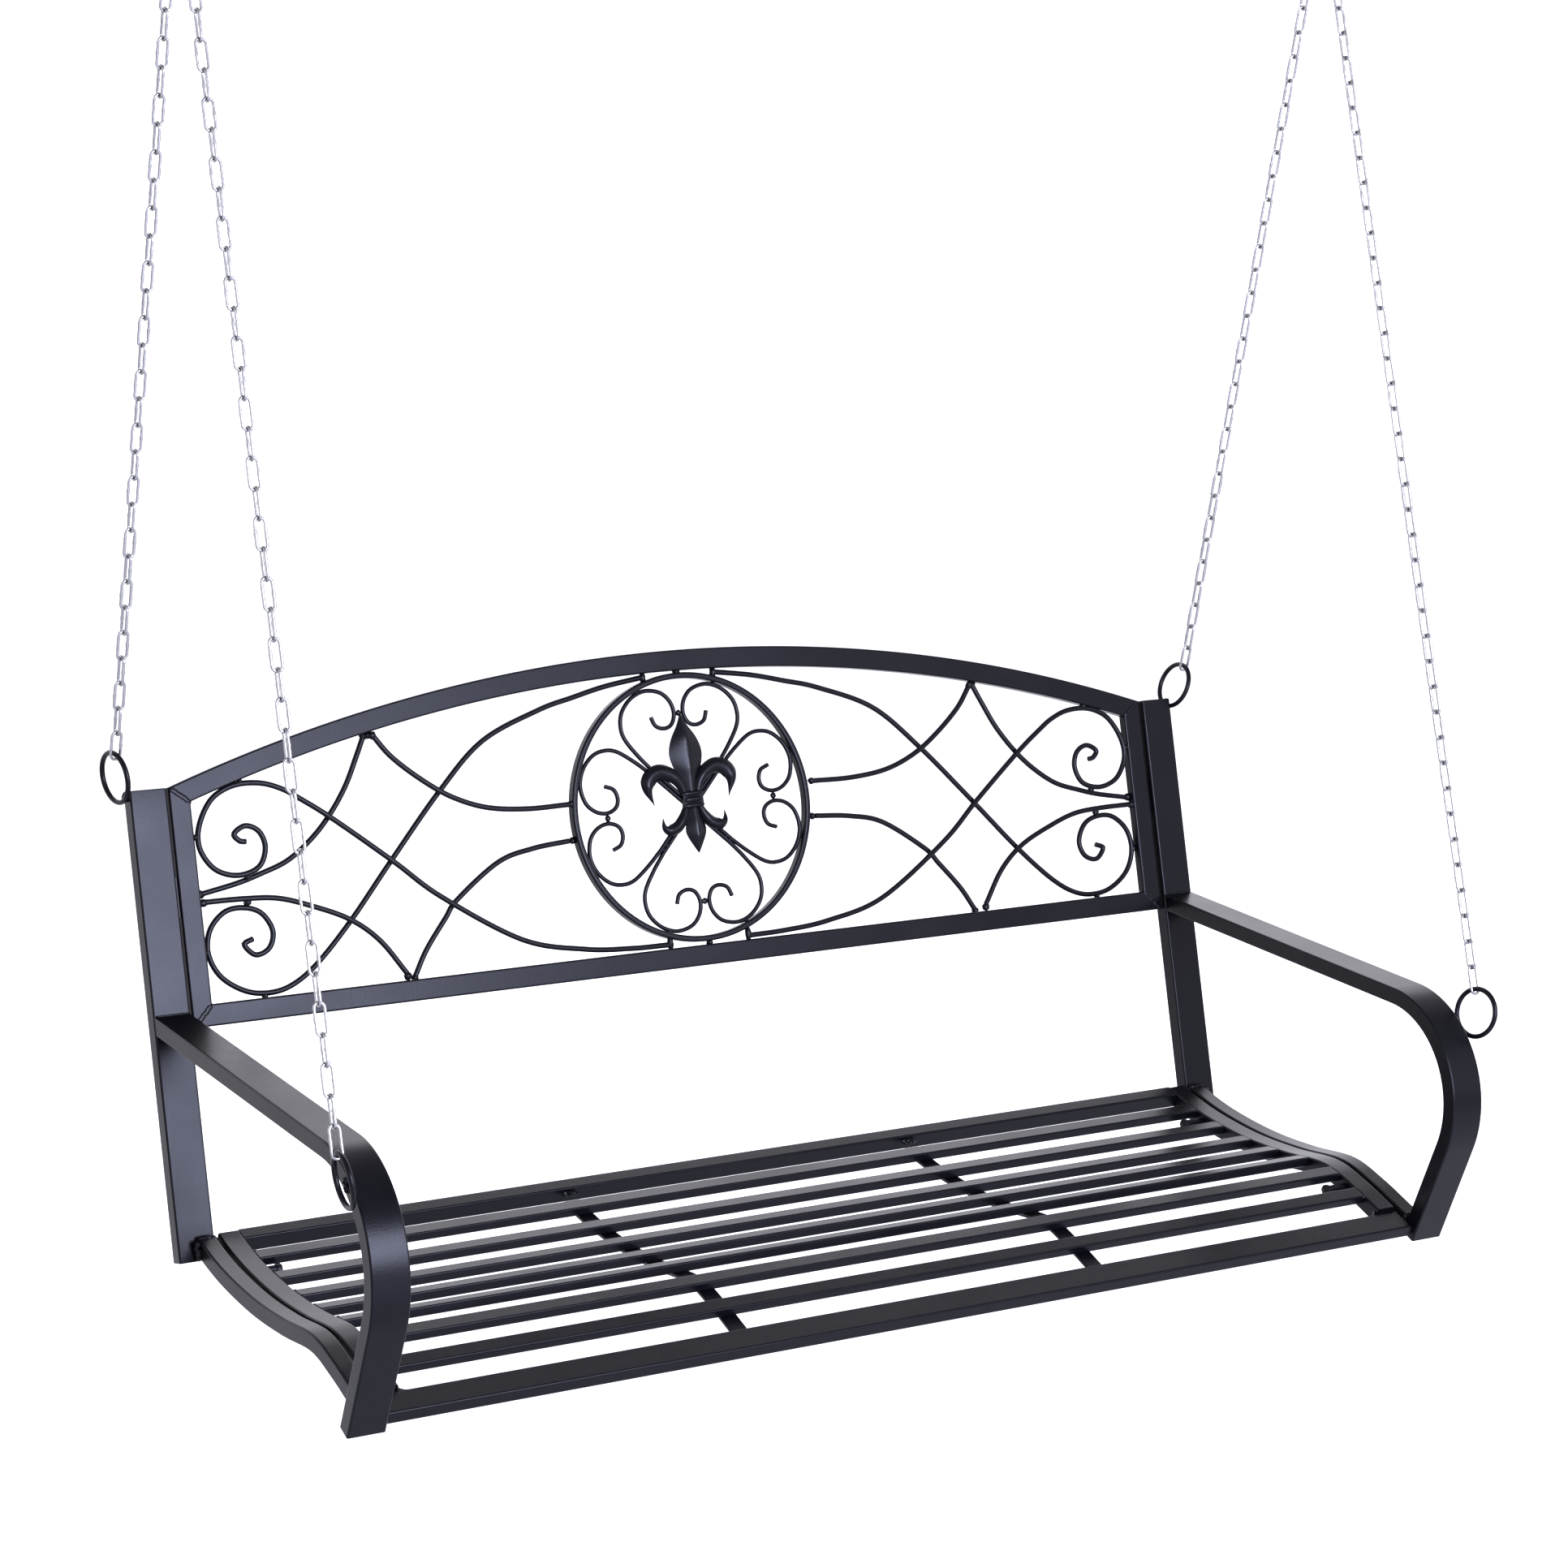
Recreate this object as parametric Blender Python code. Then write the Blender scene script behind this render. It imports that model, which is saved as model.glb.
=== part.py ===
"""Hanging two-seat steel porch swing: welded side frames, scrolled back panel,
slatted seat panel and four chains that meet at two ceiling fittings.

World frame: +X to the sitter's left when facing out, -Y to the front, +Z up.
The origin lies midway between the two ceiling fittings, on their fixing plane.
All sizes are in metres.
"""
import math

import bmesh
import bpy
from mathutils import Matrix, Vector

# ---- overall placement ----
HALF_WIDTH = 0.6362         # outer face of a post or armrest
CEILING_DROP = 0.955        # fixing plane down to the top of the posts
SETBACK = 0.2296            # post-top front edge behind the hang line
GAP = 0.0003                # play left between touching pieces

# ---- side frames ----
POST_W, POST_D = 0.0387, 0.0188
POST_RAKE = math.radians(12.5)
POST_LENGTH = 0.4708
ARM_D = 0.018
ARM_TOP_DROP = 0.2203       # post top down to the armrest's top, at the post
ARM_SLOPE = math.radians(4.3)
ARM_RUN = 0.4067
ARM_BEND = 0.1043           # centreline radius
LEG_LEAN = math.radians(24.8)
LEG_LENGTH = 0.1190
RAIL_W, RAIL_D = 0.0188, 0.0185
RAIL_OUT = 0.617            # outer face of the side rail
RING_R, RING_WIRE = 0.0252, 0.0027
REAR_RING = (0.648, 0.0075, 0.0135)
FRONT_RING = (0.6485, -0.5335, -0.2695)
REAR_YAW = {-1: math.radians(-8.7), 1: 0.0}
REAR_LEAN = {-1: math.radians(5.3), 1: math.radians(20.7)}
FRONT_YAW = {-1: math.radians(6.0), 1: math.radians(9.5)}
FRONT_LEAN = {-1: math.radians(8.2), 1: math.radians(9.9)}
TUBE_CHAMFER = 0.0020

# ---- back panel ----
PANEL_SETBACK = 0.0030
PANEL_D = 0.012
PANEL_HALF = 0.5943
PANEL_TUBE = 0.0223
PANEL_HEIGHT = 0.2415
ARCH_RISE = 0.0995
SCROLL_R = 0.0030
LAYER = 0.00317             # scroll layers stand this far from the panel's mid-plane
MEDALLION_U = -0.0024       # centre of the round medallion, which sits off the middle
MEDALLION_S = 0.0705        # and its depth below the panel's corners
MEDALLION_TURN = math.radians(2.0)   # of the hearts and the fleur in their ring
MEDALLION_R = 0.1455
MEDALLION_T = 0.0066
HEART_WIRE = 0.0020
FLEUR_T = 0.0080
RING_CHAMFER = 0.0017
WELD_STRIP = (0.090, 0.130) # from and to, down the post, of the panel's side welds
WELD_HALF = 0.0030
HEART_NECK = 0.0150         # where a heart's straight sides leave its point
HEART_HALF = ((0.0440, 0.0409), (0.0613, 0.0557), (0.0807, 0.0690), (0.0955, 0.0720),
              (0.1104, 0.0680), (0.1236, 0.0552), (0.1298, 0.0378), (0.1262, 0.0194),
              (0.1155, 0.0087), (0.1022, 0.0056), (0.0910, 0.0102), (0.0874, 0.0194),
              (0.0910, 0.0296), (0.1012, 0.0342))
FLEUR_HALF = ((0.0, -0.030), (0.007, -0.017), (0.016, -0.003), (0.020, 0.010), (0.018, 0.023),
              (0.012, 0.038), (0.013, 0.044), (0.022, 0.031), (0.038, 0.021), (0.052, 0.028),
              (0.058, 0.043), (0.045, 0.0635), (0.046, 0.046), (0.038, 0.037), (0.027, 0.043),
              (0.0145, 0.053), (0.0145, 0.072), (0.022, 0.083), (0.031, 0.087), (0.038, 0.079),
              (0.041, 0.090), (0.034, 0.099), (0.021, 0.097), (0.013, 0.088), (0.011, 0.099),
              (0.006, 0.110), (0.0, 0.120))
SCROLL_TOP = ((0.517, 0.0610), (0.524, 0.0595), (0.5290, 0.052), (0.516, 0.0450),
              (0.502, 0.052), (0.497, 0.069), (0.506, 0.0875), (0.529, 0.0940),
              (0.552, 0.0865), (0.5655, 0.068), (0.5673, 0.049), (0.559, 0.028),
              (0.545, 0.0120), (0.522, 0.0030), (0.495, 0.0035), (0.473, 0.011),
              (0.455, 0.022), (0.421, 0.0460), (0.359, 0.0955), (0.309, 0.1375),
              (0.222, 0.1912), (0.150, 0.2090), (0.095, 0.2140), (0.050, 0.2150))
SCROLL_LOW = ((0.518, 0.159), (0.5280, 0.164), (0.517, 0.1755), (0.5015, 0.170),
              (0.496, 0.153), (0.506, 0.1345), (0.524, 0.1270), (0.545, 0.129),
              (0.5625, 0.145), (0.5675, 0.168), (0.5585, 0.191), (0.539, 0.2070),
              (0.516, 0.2145), (0.487, 0.2120), (0.455, 0.194), (0.411, 0.153),
              (0.358, 0.095), (0.295, 0.028), (0.240, -0.020), (0.172, -0.047),
              (0.130, -0.0575), (0.090, -0.0665), (0.044, -0.0730))
BAR_UPPER_SIDE = ((0.5714, 0.1095), (0.530, 0.102), (0.504, 0.095), (0.472, 0.084),
                  (0.443, 0.064), (0.420, 0.041), (0.400, 0.014), (0.385, -0.014),
                  (0.3745, -0.0350))
BAR_UPPER_ARCH = ((0.3655, -0.0335), (0.349, -0.0090), (0.318, 0.013), (0.285, 0.035),
                  (0.246, 0.050), (0.200, 0.0555), (0.1500, 0.0552))
BAR_LOWER_SIDE = ((0.5714, 0.1175), (0.526, 0.1180), (0.490, 0.121), (0.455, 0.132),
                  (0.414, 0.150), (0.383, 0.175), (0.3565, 0.2120))
BAR_LOWER_RAIL = ((0.3450, 0.2160), (0.329, 0.190), (0.304, 0.160), (0.2880, 0.1420),
                  (0.237, 0.108), (0.195, 0.0975), (0.1520, 0.0935))
# Half-panel bars: name, layer (-1 front, +1 rear), knots (across, down) from the middle.
BARS = (("scroll_top", -1, SCROLL_TOP), ("scroll_low", 1, SCROLL_LOW),
        ("bar_upper_side", 1, BAR_UPPER_SIDE), ("bar_upper_arch", -1, BAR_UPPER_ARCH),
        ("bar_lower_side", -1, BAR_LOWER_SIDE), ("bar_lower_rail", 1, BAR_LOWER_RAIL))

# ---- seat panel ----
SEAT_OUT = 0.5945
SEAT_SIDE_W = 0.0225
SEAT_D = 0.0176
SEAT_REAR_W = 0.0170
SEAT_FRONT_W, SEAT_FRONT_D = 0.0298, 0.0130
SEAT_FRONT_MID, SEAT_FRONT_TILT = (-0.4895, -0.4966), math.radians(20.0)
SLAT_W, SLAT_D = 0.0178, 0.0098
SLAT_BACKS = (0.1360, 0.1855, 0.2360, 0.2840, 0.3375, 0.3915, 0.4345)
SUPPORT_X = 0.209
SUPPORT_W, SUPPORT_D = 0.018, 0.004
SUPPORT_REAR_LAP, SUPPORT_FRONT_LAP = 0.0045, 0.0025
RAIL_CHAMFER, SLAT_CHAMFER, STRAP_CHAMFER = 0.0015, 0.0012, 0.0008

SEAT_CURVE = ((-0.060, -0.4222), (-0.085, -0.4287), (-0.120, -0.4412), (-0.170, -0.4522),
              (-0.240, -0.4600), (-0.310, -0.4606), (-0.380, -0.4572), (-0.430, -0.4702),
              (-0.470, -0.4852), (-0.510, -0.5000), (-0.545, -0.5124))
RAIL_REAR_Y, RAIL_FRONT_Y = -0.1050, -0.4880
SEAT_REAR_Y, SEAT_FRONT_Y = -0.0970, -0.4717

# ---- fasteners ----
BOLT_R, BOLT_HOLE_R = 0.003, 0.0033
BOLT_HEAD_R, BOLT_HEAD_T = 0.0058, 0.0060
SLEEVE_R, SLEEVE_LENGTH = 0.0042, 0.0210
BOLT_DEEP = 0.0125          # how far a seat bolt reaches into the side rail
BOLT_REAR_Y, BOLT_FRONT_Y = -0.1605, -0.4160
BOLT_SINK = 0.0102          # bolt axis under the seat curve
BOLT_EDGE = 0.0009          # chamfer of its head and tip

# ---- hanging gear ----
EYE_R, EYE_WIRE = 0.016, 0.004
PLATE_SIZE, PLATE_T = 0.070, 0.004
EYE_NECK = 0.012
HANGER_WIRE = 0.00275
HANGER_HALF = 0.018
HANGER_TALL = 0.052
LINK_WIRE = 0.0015
LINK_R = 0.0053
RING_SLACK = 0.0010         # play of a chain's end under a ring
PLATE_HOLE = 0.026          # screw holes, each way from the plate's middle
SCREW_HOLE_R = 0.0025
HANG_X = 0.6525
SWING_Z = -(PLATE_T + EYE_NECK + EYE_R)

# ---- how finely curves are drawn ----
FINE = 0.0015               # spacing of the dense curves
ARM_STEP = math.radians(7.5)
RAIL_STEP = 0.018
SCROLL_TURN, HEART_TURN = math.radians(17.0), math.radians(20.0)
LONGEST_RUN = 0.035

RAKE_DOWN = Vector((0.0, -math.sin(POST_RAKE), -math.cos(POST_RAKE)))
RAKE_BACK = Vector((0.0, math.cos(POST_RAKE), -math.sin(POST_RAKE)))
PANEL_MID = PANEL_SETBACK + PANEL_D / 2
BENCH_ORIGIN = Vector((0.0, SETBACK, -CEILING_DROP))


def bench(x, y, z):
    """A point given from the middle of the line joining the post tops."""
    return BENCH_ORIGIN + Vector((x, y, z))


# ---------------------------------------------------------------- scene and materials
def clear_scene():
    for obj in list(bpy.data.objects):
        bpy.data.objects.remove(obj, do_unlink=True)


def make_material(name, colour, metallic, roughness):
    mat = bpy.data.materials.new(name)
    mat.use_nodes = True
    shader = mat.node_tree.nodes["Principled BSDF"]
    shader.inputs["Base Color"].default_value = (*colour, 1.0)
    shader.inputs["Metallic"].default_value = metallic
    shader.inputs["Roughness"].default_value = roughness
    return mat


def add_object(name, bm, material, parent=None):
    """Turns a bmesh in world coordinates into an object under its joint's empty."""
    bmesh.ops.recalc_face_normals(bm, faces=bm.faces)
    mesh = bpy.data.meshes.new(name)
    bm.to_mesh(mesh)
    bm.free()
    mesh.materials.append(material)
    obj = bpy.data.objects.new(name, mesh)
    bpy.context.collection.objects.link(obj)
    if parent is not None:
        obj.parent = parent
        obj.matrix_parent_inverse = parent.matrix_world.inverted()
    return obj


def smooth_round(obj, angle=40.0):
    obj.data.shade_smooth()
    obj.data.set_sharp_from_angle(angle=math.radians(angle))
    return obj


def add_axis(name, location):
    empty = bpy.data.objects.new(name, None)
    empty.location = location
    empty.empty_display_size = 0.05
    bpy.context.collection.objects.link(empty)
    bpy.context.view_layer.update()
    return empty


# ---------------------------------------------------------------- planar paths
def trace(start, heading, moves, step):
    """Follows straight runs ("line", length) and bends (radius, turn) in a plane."""
    here = Vector(start)
    points = [here.copy()]
    for kind, amount in moves:
        if kind == "line":
            here = here + amount * Vector((math.cos(heading), math.sin(heading)))
            points.append(here.copy())
            continue
        side = math.copysign(1.0, amount)
        centre = here + kind * side * Vector((-math.sin(heading), math.cos(heading)))
        count = max(2, round(abs(amount) / step))
        for i in range(1, count + 1):
            angle = heading + amount * i / count
            normal = Vector((-math.sin(angle), math.cos(angle)))
            points.append(centre - kind * side * normal)
        heading += amount
        here = points[-1].copy()
    return points


def smooth(knots, spacing):
    """A Catmull-Rom curve through the knots, read at an even spacing."""
    pts = [Vector(p) for p in knots]
    pts = [2 * pts[0] - pts[1]] + pts + [2 * pts[-1] - pts[-2]]
    dense = []
    for a, b, c, d in zip(pts, pts[1:], pts[2:], pts[3:]):
        for i in range(12):
            t = i / 12
            dense.append(0.5 * ((2 * b) + (c - a) * t + (2 * a - 5 * b + 4 * c - d) * t * t
                                + (3 * b - a - 3 * c + d) * t ** 3))
    dense.append(pts[-2].copy())
    length = sum((q - p).length for p, q in zip(dense, dense[1:]))
    count = max(2, round(length / spacing))
    return resample(dense, count)


def bend_points(points, most_turn, most_reach):
    """Thins a dense polyline, keeping a point each time it has turned or run enough."""
    kept = [points[0]]
    turned_by = 0.0
    for before, here, after in zip(points, points[1:], points[2:]):
        turned_by += (here - before).angle(after - here, 0.0)
        if turned_by > most_turn or (here - kept[-1]).length > most_reach:
            kept.append(here)
            turned_by = 0.0
    kept.append(points[-1])
    return kept


def resample(points, count):
    """The same polyline with count equal steps."""
    lengths = [0.0]
    for p, q in zip(points, points[1:]):
        lengths.append(lengths[-1] + (q - p).length)
    result = []
    j = 0
    for i in range(count + 1):
        goal = lengths[-1] * i / count
        while j < len(points) - 2 and lengths[j + 1] < goal:
            j += 1
        part = (goal - lengths[j]) / max(lengths[j + 1] - lengths[j], 1e-9)
        result.append(points[j].lerp(points[j + 1], min(max(part, 0.0), 1.0)))
    return result


# ---------------------------------------------------------------- sections and sweeps
def box_section(across, deep, chamfer=RAIL_CHAMFER):
    """Rectangle with cut corners: (offset in the path's plane, offset out of it)."""
    a, b, c = deep / 2, across / 2, chamfer
    return [(a, b - c), (a - c, b), (c - a, b), (-a, b - c),
            (-a, c - b), (c - a, -b), (a - c, -b), (a, c - b)]


def round_section(radius, sides=6):
    return [(radius * math.cos(math.tau * (i + 0.5) / sides),
             radius * math.sin(math.tau * (i + 0.5) / sides)) for i in range(sides)]


class Plane:
    """A drawing plane: p and q lie in it, r stands off it."""

    def __init__(self, origin, p_axis, q_axis):
        self.origin = Vector(origin)
        self.p = Vector(p_axis).normalized()
        self.q = Vector(q_axis).normalized()
        self.r = self.p.cross(self.q)

    def at(self, point, off=0.0):
        return self.origin + point[0] * self.p + point[1] * self.q + off * self.r


def sweep(plane, path, section, closed=False, cuts=(None, None), bm=None):
    """Carries a section along a path in a plane; cuts give the end faces' directions."""
    bm = bm or bmesh.new()
    count = len(path)
    rings = []
    for i, point in enumerate(path):
        before = path[i - 1] if (i > 0 or closed) else path[0]
        after = path[(i + 1) % count] if (i < count - 1 or closed) else path[-1]
        into = (Vector(point) - Vector(before))
        out = (Vector(after) - Vector(point))
        into = into.normalized() if into.length > 1e-9 else out.normalized()
        out = out.normalized() if out.length > 1e-9 else into
        along = (into + out).normalized()
        normal = Vector((-along.y, along.x))
        flat = Vector((-into.y, into.x))
        across = normal / max(normal.dot(flat), 0.3)
        cut = cuts[0] if i == 0 else cuts[1] if i == count - 1 else None
        if cut is not None:
            cut = Vector(cut).normalized()
            across = cut / cut.dot(flat)
        rings.append([bm.verts.new(plane.at(Vector(point) + a * across, b)) for a, b in section])
    sides = len(section)
    spans = count if closed else count - 1
    for i in range(spans):
        one, two = rings[i], rings[(i + 1) % count]
        for k in range(sides):
            bm.faces.new((one[k], one[(k + 1) % sides], two[(k + 1) % sides], two[k]))
    if not closed:
        bm.faces.new(rings[0])
        bm.faces.new(list(reversed(rings[-1])))
    return bm


def extrude_outline(plane, outline, low, high):
    """A plate: a closed outline in the plane, between two offsets from it."""
    bm = bmesh.new()
    lower = [bm.verts.new(plane.at(p, low)) for p in outline]
    upper = [bm.verts.new(plane.at(p, high)) for p in outline]
    bm.faces.new(lower)
    bm.faces.new(list(reversed(upper)))
    count = len(outline)
    for i in range(count):
        j = (i + 1) % count
        bm.faces.new((lower[i], lower[j], upper[j], upper[i]))
    return bm


def mirrored(outline):
    return [Vector((-p[0], p[1])) for p in reversed(outline)]


# ---------------------------------------------------------------- drawing planes
def side_plane(x):
    """Side view at x: p runs to the back, q up."""
    return Plane(bench(x, 0.0, 0.0), (0, 1, 0), (0, 0, 1))


def panel_plane(side=1.0):
    """The raked plane of the post fronts: p runs outwards, q down the posts."""
    return Plane(bench(0.0, 0.0, 0.0), (side, 0, 0), RAKE_DOWN)


def panel_bm(outline, front, back, side=1.0):
    plane = panel_plane(side)
    sign = 1.0 if plane.r.dot(RAKE_BACK) > 0 else -1.0
    return extrude_outline(plane, outline, sign * front, sign * back)


def panel_rod(path, radius, depth, side=1.0, sides=6, closed=False):
    plane = panel_plane(side)
    sign = 1.0 if plane.r.dot(RAKE_BACK) > 0 else -1.0
    section = [(a, b + sign * depth) for a, b in round_section(radius, sides)]
    return sweep(plane, path, section, closed=closed)


# ---------------------------------------------------------------- side frames
def seat_line(offset, y_rear, y_front, spacing=RAIL_STEP):
    """The seat's S curve in side view, a set depth under its top surface."""
    dense = smooth(SEAT_CURVE, FINE)
    under = []
    for before, after in zip(dense, dense[1:]):
        along = (after - before).normalized()
        under.append((before + after) / 2 + offset * Vector((-along.y, along.x)))
    kept = [at_level(under, y_rear)]
    kept += [p for p in under if y_front < p.x < y_rear]
    kept.append(at_level(under, y_front))
    length = sum((q - p).length for p, q in zip(kept, kept[1:]))
    return resample(kept, max(1, round(length / spacing)))


def at_level(line, y):
    """The point where a line running to the front passes y."""
    for p, q in zip(line, line[1:]):
        if q.x <= y <= p.x:
            return p.lerp(q, (p.x - y) / max(p.x - q.x, 1e-9))
    return line[-1].copy()


def seat_frame_at(y, offset):
    """Point and forward direction on the seat curve, a set depth under its top."""
    line = seat_line(offset, y + 0.004, y - 0.004, spacing=1.0)
    return (line[0] + line[-1]) / 2, (line[-1] - line[0]).normalized()


def post_front(drop):
    """The front edge of a post, drop below the post tops, in side view."""
    return Vector((-drop * math.tan(POST_RAKE), -drop))


def build_post(side, material, parent):
    x = side * (HALF_WIDTH - POST_W / 2)
    back = Vector((math.cos(POST_RAKE), -math.sin(POST_RAKE))) * POST_D / 2
    down = Vector((-math.sin(POST_RAKE), -math.cos(POST_RAKE)))
    path = [back, back + down * POST_LENGTH]
    bm = sweep(side_plane(x), path, box_section(POST_W, POST_D, TUBE_CHAMFER))
    return add_object(f"post_{side_name(side)}", bm, material, parent)


def build_armrest(side, material, parent):
    x = side * (HALF_WIDTH - POST_W / 2)
    rake = Vector((math.sin(POST_RAKE), math.cos(POST_RAKE)))
    heading = math.pi + ARM_SLOPE
    start = post_front(ARM_TOP_DROP + ARM_D / 2) + Vector((-GAP, 0.0))
    moves = [("line", ARM_RUN), (ARM_BEND, math.pi / 2 - ARM_SLOPE + LEG_LEAN),
             ("line", LEG_LENGTH)]
    path = trace(start, heading, moves, step=ARM_STEP)
    bm = sweep(side_plane(x), path, box_section(POST_W, ARM_D, TUBE_CHAMFER), cuts=(rake, None))
    return add_object(f"armrest_{side_name(side)}", bm, material, parent)


def build_side_rail(side, material, parent):
    x = side * (RAIL_OUT - RAIL_W / 2)
    path = seat_line(RAIL_D / 2, RAIL_REAR_Y, RAIL_FRONT_Y)
    rake = Vector((math.sin(POST_RAKE), math.cos(POST_RAKE)))
    leg = Vector((-math.sin(LEG_LEAN), math.cos(LEG_LEAN)))
    bm = sweep(side_plane(x), path, box_section(RAIL_W, RAIL_D), cuts=(rake, leg))
    return add_object(f"side_rail_{side_name(side)}", bm, material, parent)


def build_hanging_ring(name, centre, side, yaw, lean, material, parent):
    """A welded round eye; yaw turns its front outwards, lean tips its top outwards."""
    outward = Vector((side, 0.0, 0.0))
    along = Vector((side * math.sin(yaw), -math.cos(yaw), 0.0))
    up = (Vector((0.0, 0.0, math.cos(lean))) + outward * math.sin(lean)).normalized()
    plane = Plane(bench(side * centre[0], centre[1], centre[2]), along, up)
    path = [Vector((RING_R * math.cos(a), RING_R * math.sin(a)))
            for a in (math.tau * i / 20 for i in range(20))]
    bm = sweep(plane, path, round_section(RING_WIRE), closed=True)
    return smooth_round(add_object(name, bm, material, parent))


def side_name(side):
    return "right" if side > 0 else "left"


# ---------------------------------------------------------------- back panel
def arch_line(inset, u):
    """Height (down the posts) of the arch, inset from its outer edge, at u."""
    radius = (PANEL_HALF ** 2 + ARCH_RISE ** 2) / (2 * ARCH_RISE)
    return radius - ARCH_RISE - math.sqrt((radius - inset) ** 2 - u ** 2)


def build_panel_frame(material, parent):
    inner = PANEL_HALF - PANEL_TUBE
    corner = arch_line(PANEL_TUBE, inner)
    steps = 24
    outer_arc = [Vector((u, arch_line(0.0, u)))
                 for u in (PANEL_HALF * (1 - 2 * i / steps) for i in range(steps + 1))]
    inner_arc = [Vector((u, arch_line(PANEL_TUBE, u)))
                 for u in (-inner * (1 - 2 * i / steps) for i in range(steps + 1))]
    front, back = PANEL_SETBACK, PANEL_SETBACK + PANEL_D
    made = [add_object("arch", panel_bm(outer_arc + inner_arc, front, back), material, parent)]
    foot = PANEL_HEIGHT - PANEL_TUBE
    slack = 1.5 * GAP
    rail = [Vector((PANEL_HALF - slack, PANEL_HEIGHT)), Vector((inner - slack, foot))]
    made.append(add_object("back_bottom_rail", panel_bm(rail + mirrored(rail), front, back),
                           material, parent))
    for side in (-1, 1):
        stile = [Vector((PANEL_HALF, slack)), Vector((PANEL_HALF, PANEL_HEIGHT)),
                 Vector((inner, foot)), Vector((inner, corner + slack))]
        made.append(add_object(f"stile_{side_name(side)}", panel_bm(stile, front, back, side),
                               material, parent))
        near, far = PANEL_HALF + GAP, HALF_WIDTH - POST_W - GAP
        high, low = WELD_STRIP
        weld = [Vector((near, high)), Vector((far, high)), Vector((far, low)),
                Vector((near, low))]
        made.append(add_object(f"panel_weld_{side_name(side)}",
                               panel_bm(weld, PANEL_MID - WELD_HALF, back, side),
                               material, parent))
    return made


def build_scrolls(material, parent):
    made = []
    for name, layer, knots in BARS:
        path = bend_points(smooth(knots, FINE), SCROLL_TURN, LONGEST_RUN)
        for side in (-1, 1):
            bm = panel_rod(path, SCROLL_R, PANEL_MID + layer * LAYER, side)
            obj = add_object(f"{name}_{side_name(side)}", bm, material, parent)
            made.append(smooth_round(obj, 70.0))
    return made


def heart_path():
    """A heart seen from its point: t runs outwards, w across, both sides in one bar."""
    point = HEART_WIRE + GAP / 2
    half = bend_points(smooth(HEART_HALF, FINE), HEART_TURN, LONGEST_RUN)
    upper = [Vector((HEART_NECK, HEART_NECK - point * math.sqrt(2)))] + half
    lower = [Vector((p.x, -p.y)) for p in reversed(upper)]
    return lower + [Vector((point * math.sqrt(2), 0.0))] + upper


def settle(bm):
    """Carries what is drawn round the panel's middle line to the medallion's centre."""
    plane = panel_plane()
    sign = 1.0 if plane.r.dot(RAKE_BACK) > 0 else -1.0
    drawn = plane.at((0.0, MEDALLION_S), sign * PANEL_MID)
    matrix = Matrix.Rotation(-MEDALLION_TURN, 3, RAKE_BACK)
    bmesh.ops.rotate(bm, verts=bm.verts, cent=drawn, matrix=matrix)
    bmesh.ops.translate(bm, verts=bm.verts, vec=(MEDALLION_U, 0.0, 0.0))
    return bm


def build_medallion(material, parent):
    centre = Vector((MEDALLION_U, MEDALLION_S))
    radius = MEDALLION_R - MEDALLION_T / 2
    path = [centre + radius * Vector((math.cos(a), math.sin(a)))
            for a in (math.tau * i / 48 for i in range(48))]
    plane = panel_plane()
    sign = 1.0 if plane.r.dot(RAKE_BACK) > 0 else -1.0
    section = [(a, b + sign * PANEL_MID) for a, b in box_section(PANEL_D, MEDALLION_T, RING_CHAMFER)]
    ring = add_object("medallion_ring", sweep(plane, path, section, closed=True),
                      material, parent)
    made = [smooth_round(ring)]
    for name, angle in (("right", 0.0), ("bottom", 90.0), ("left", 180.0), ("top", 270.0)):
        cos, sin = math.cos(math.radians(angle)), math.sin(math.radians(angle))
        turned = [Vector((p.x * cos - p.y * sin, MEDALLION_S + p.x * sin + p.y * cos))
                  for p in heart_path()]
        bm = settle(panel_rod(turned, HEART_WIRE, PANEL_MID))
        made.append(smooth_round(add_object(f"heart_{name}", bm, material, parent), 70.0))
    outline = mirrored_loop(FLEUR_HALF)
    front = PANEL_MID - HEART_WIRE - GAP
    bm = settle(panel_bm(outline, front - FLEUR_T, front))
    made.append(add_object("fleur", bm, material, parent))
    return made


def mirrored_loop(half):
    """Closes a half outline that starts and ends on the centre line."""
    left = [Vector((-p[0], p[1])) for p in reversed(half[1:-1])]
    return [Vector(p) for p in half] + left


# ---------------------------------------------------------------- seat panel
def cross_bar(name, top, along, across, deep, half_length, material, parent):
    """A straight bar along X: the middle of its top face and its forward direction."""
    up = Vector((0.0, along.y, -along.x))
    point = top - deep / 2 * Vector((up.y, up.z))
    plane = Plane(bench(0.0, point.x, point.y), (1, 0, 0), up)
    bm = sweep(plane, [(-half_length, 0.0), (half_length, 0.0)],
               box_section(across, deep, SLAT_CHAMFER))
    return add_object(name, bm, material, parent)


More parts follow.
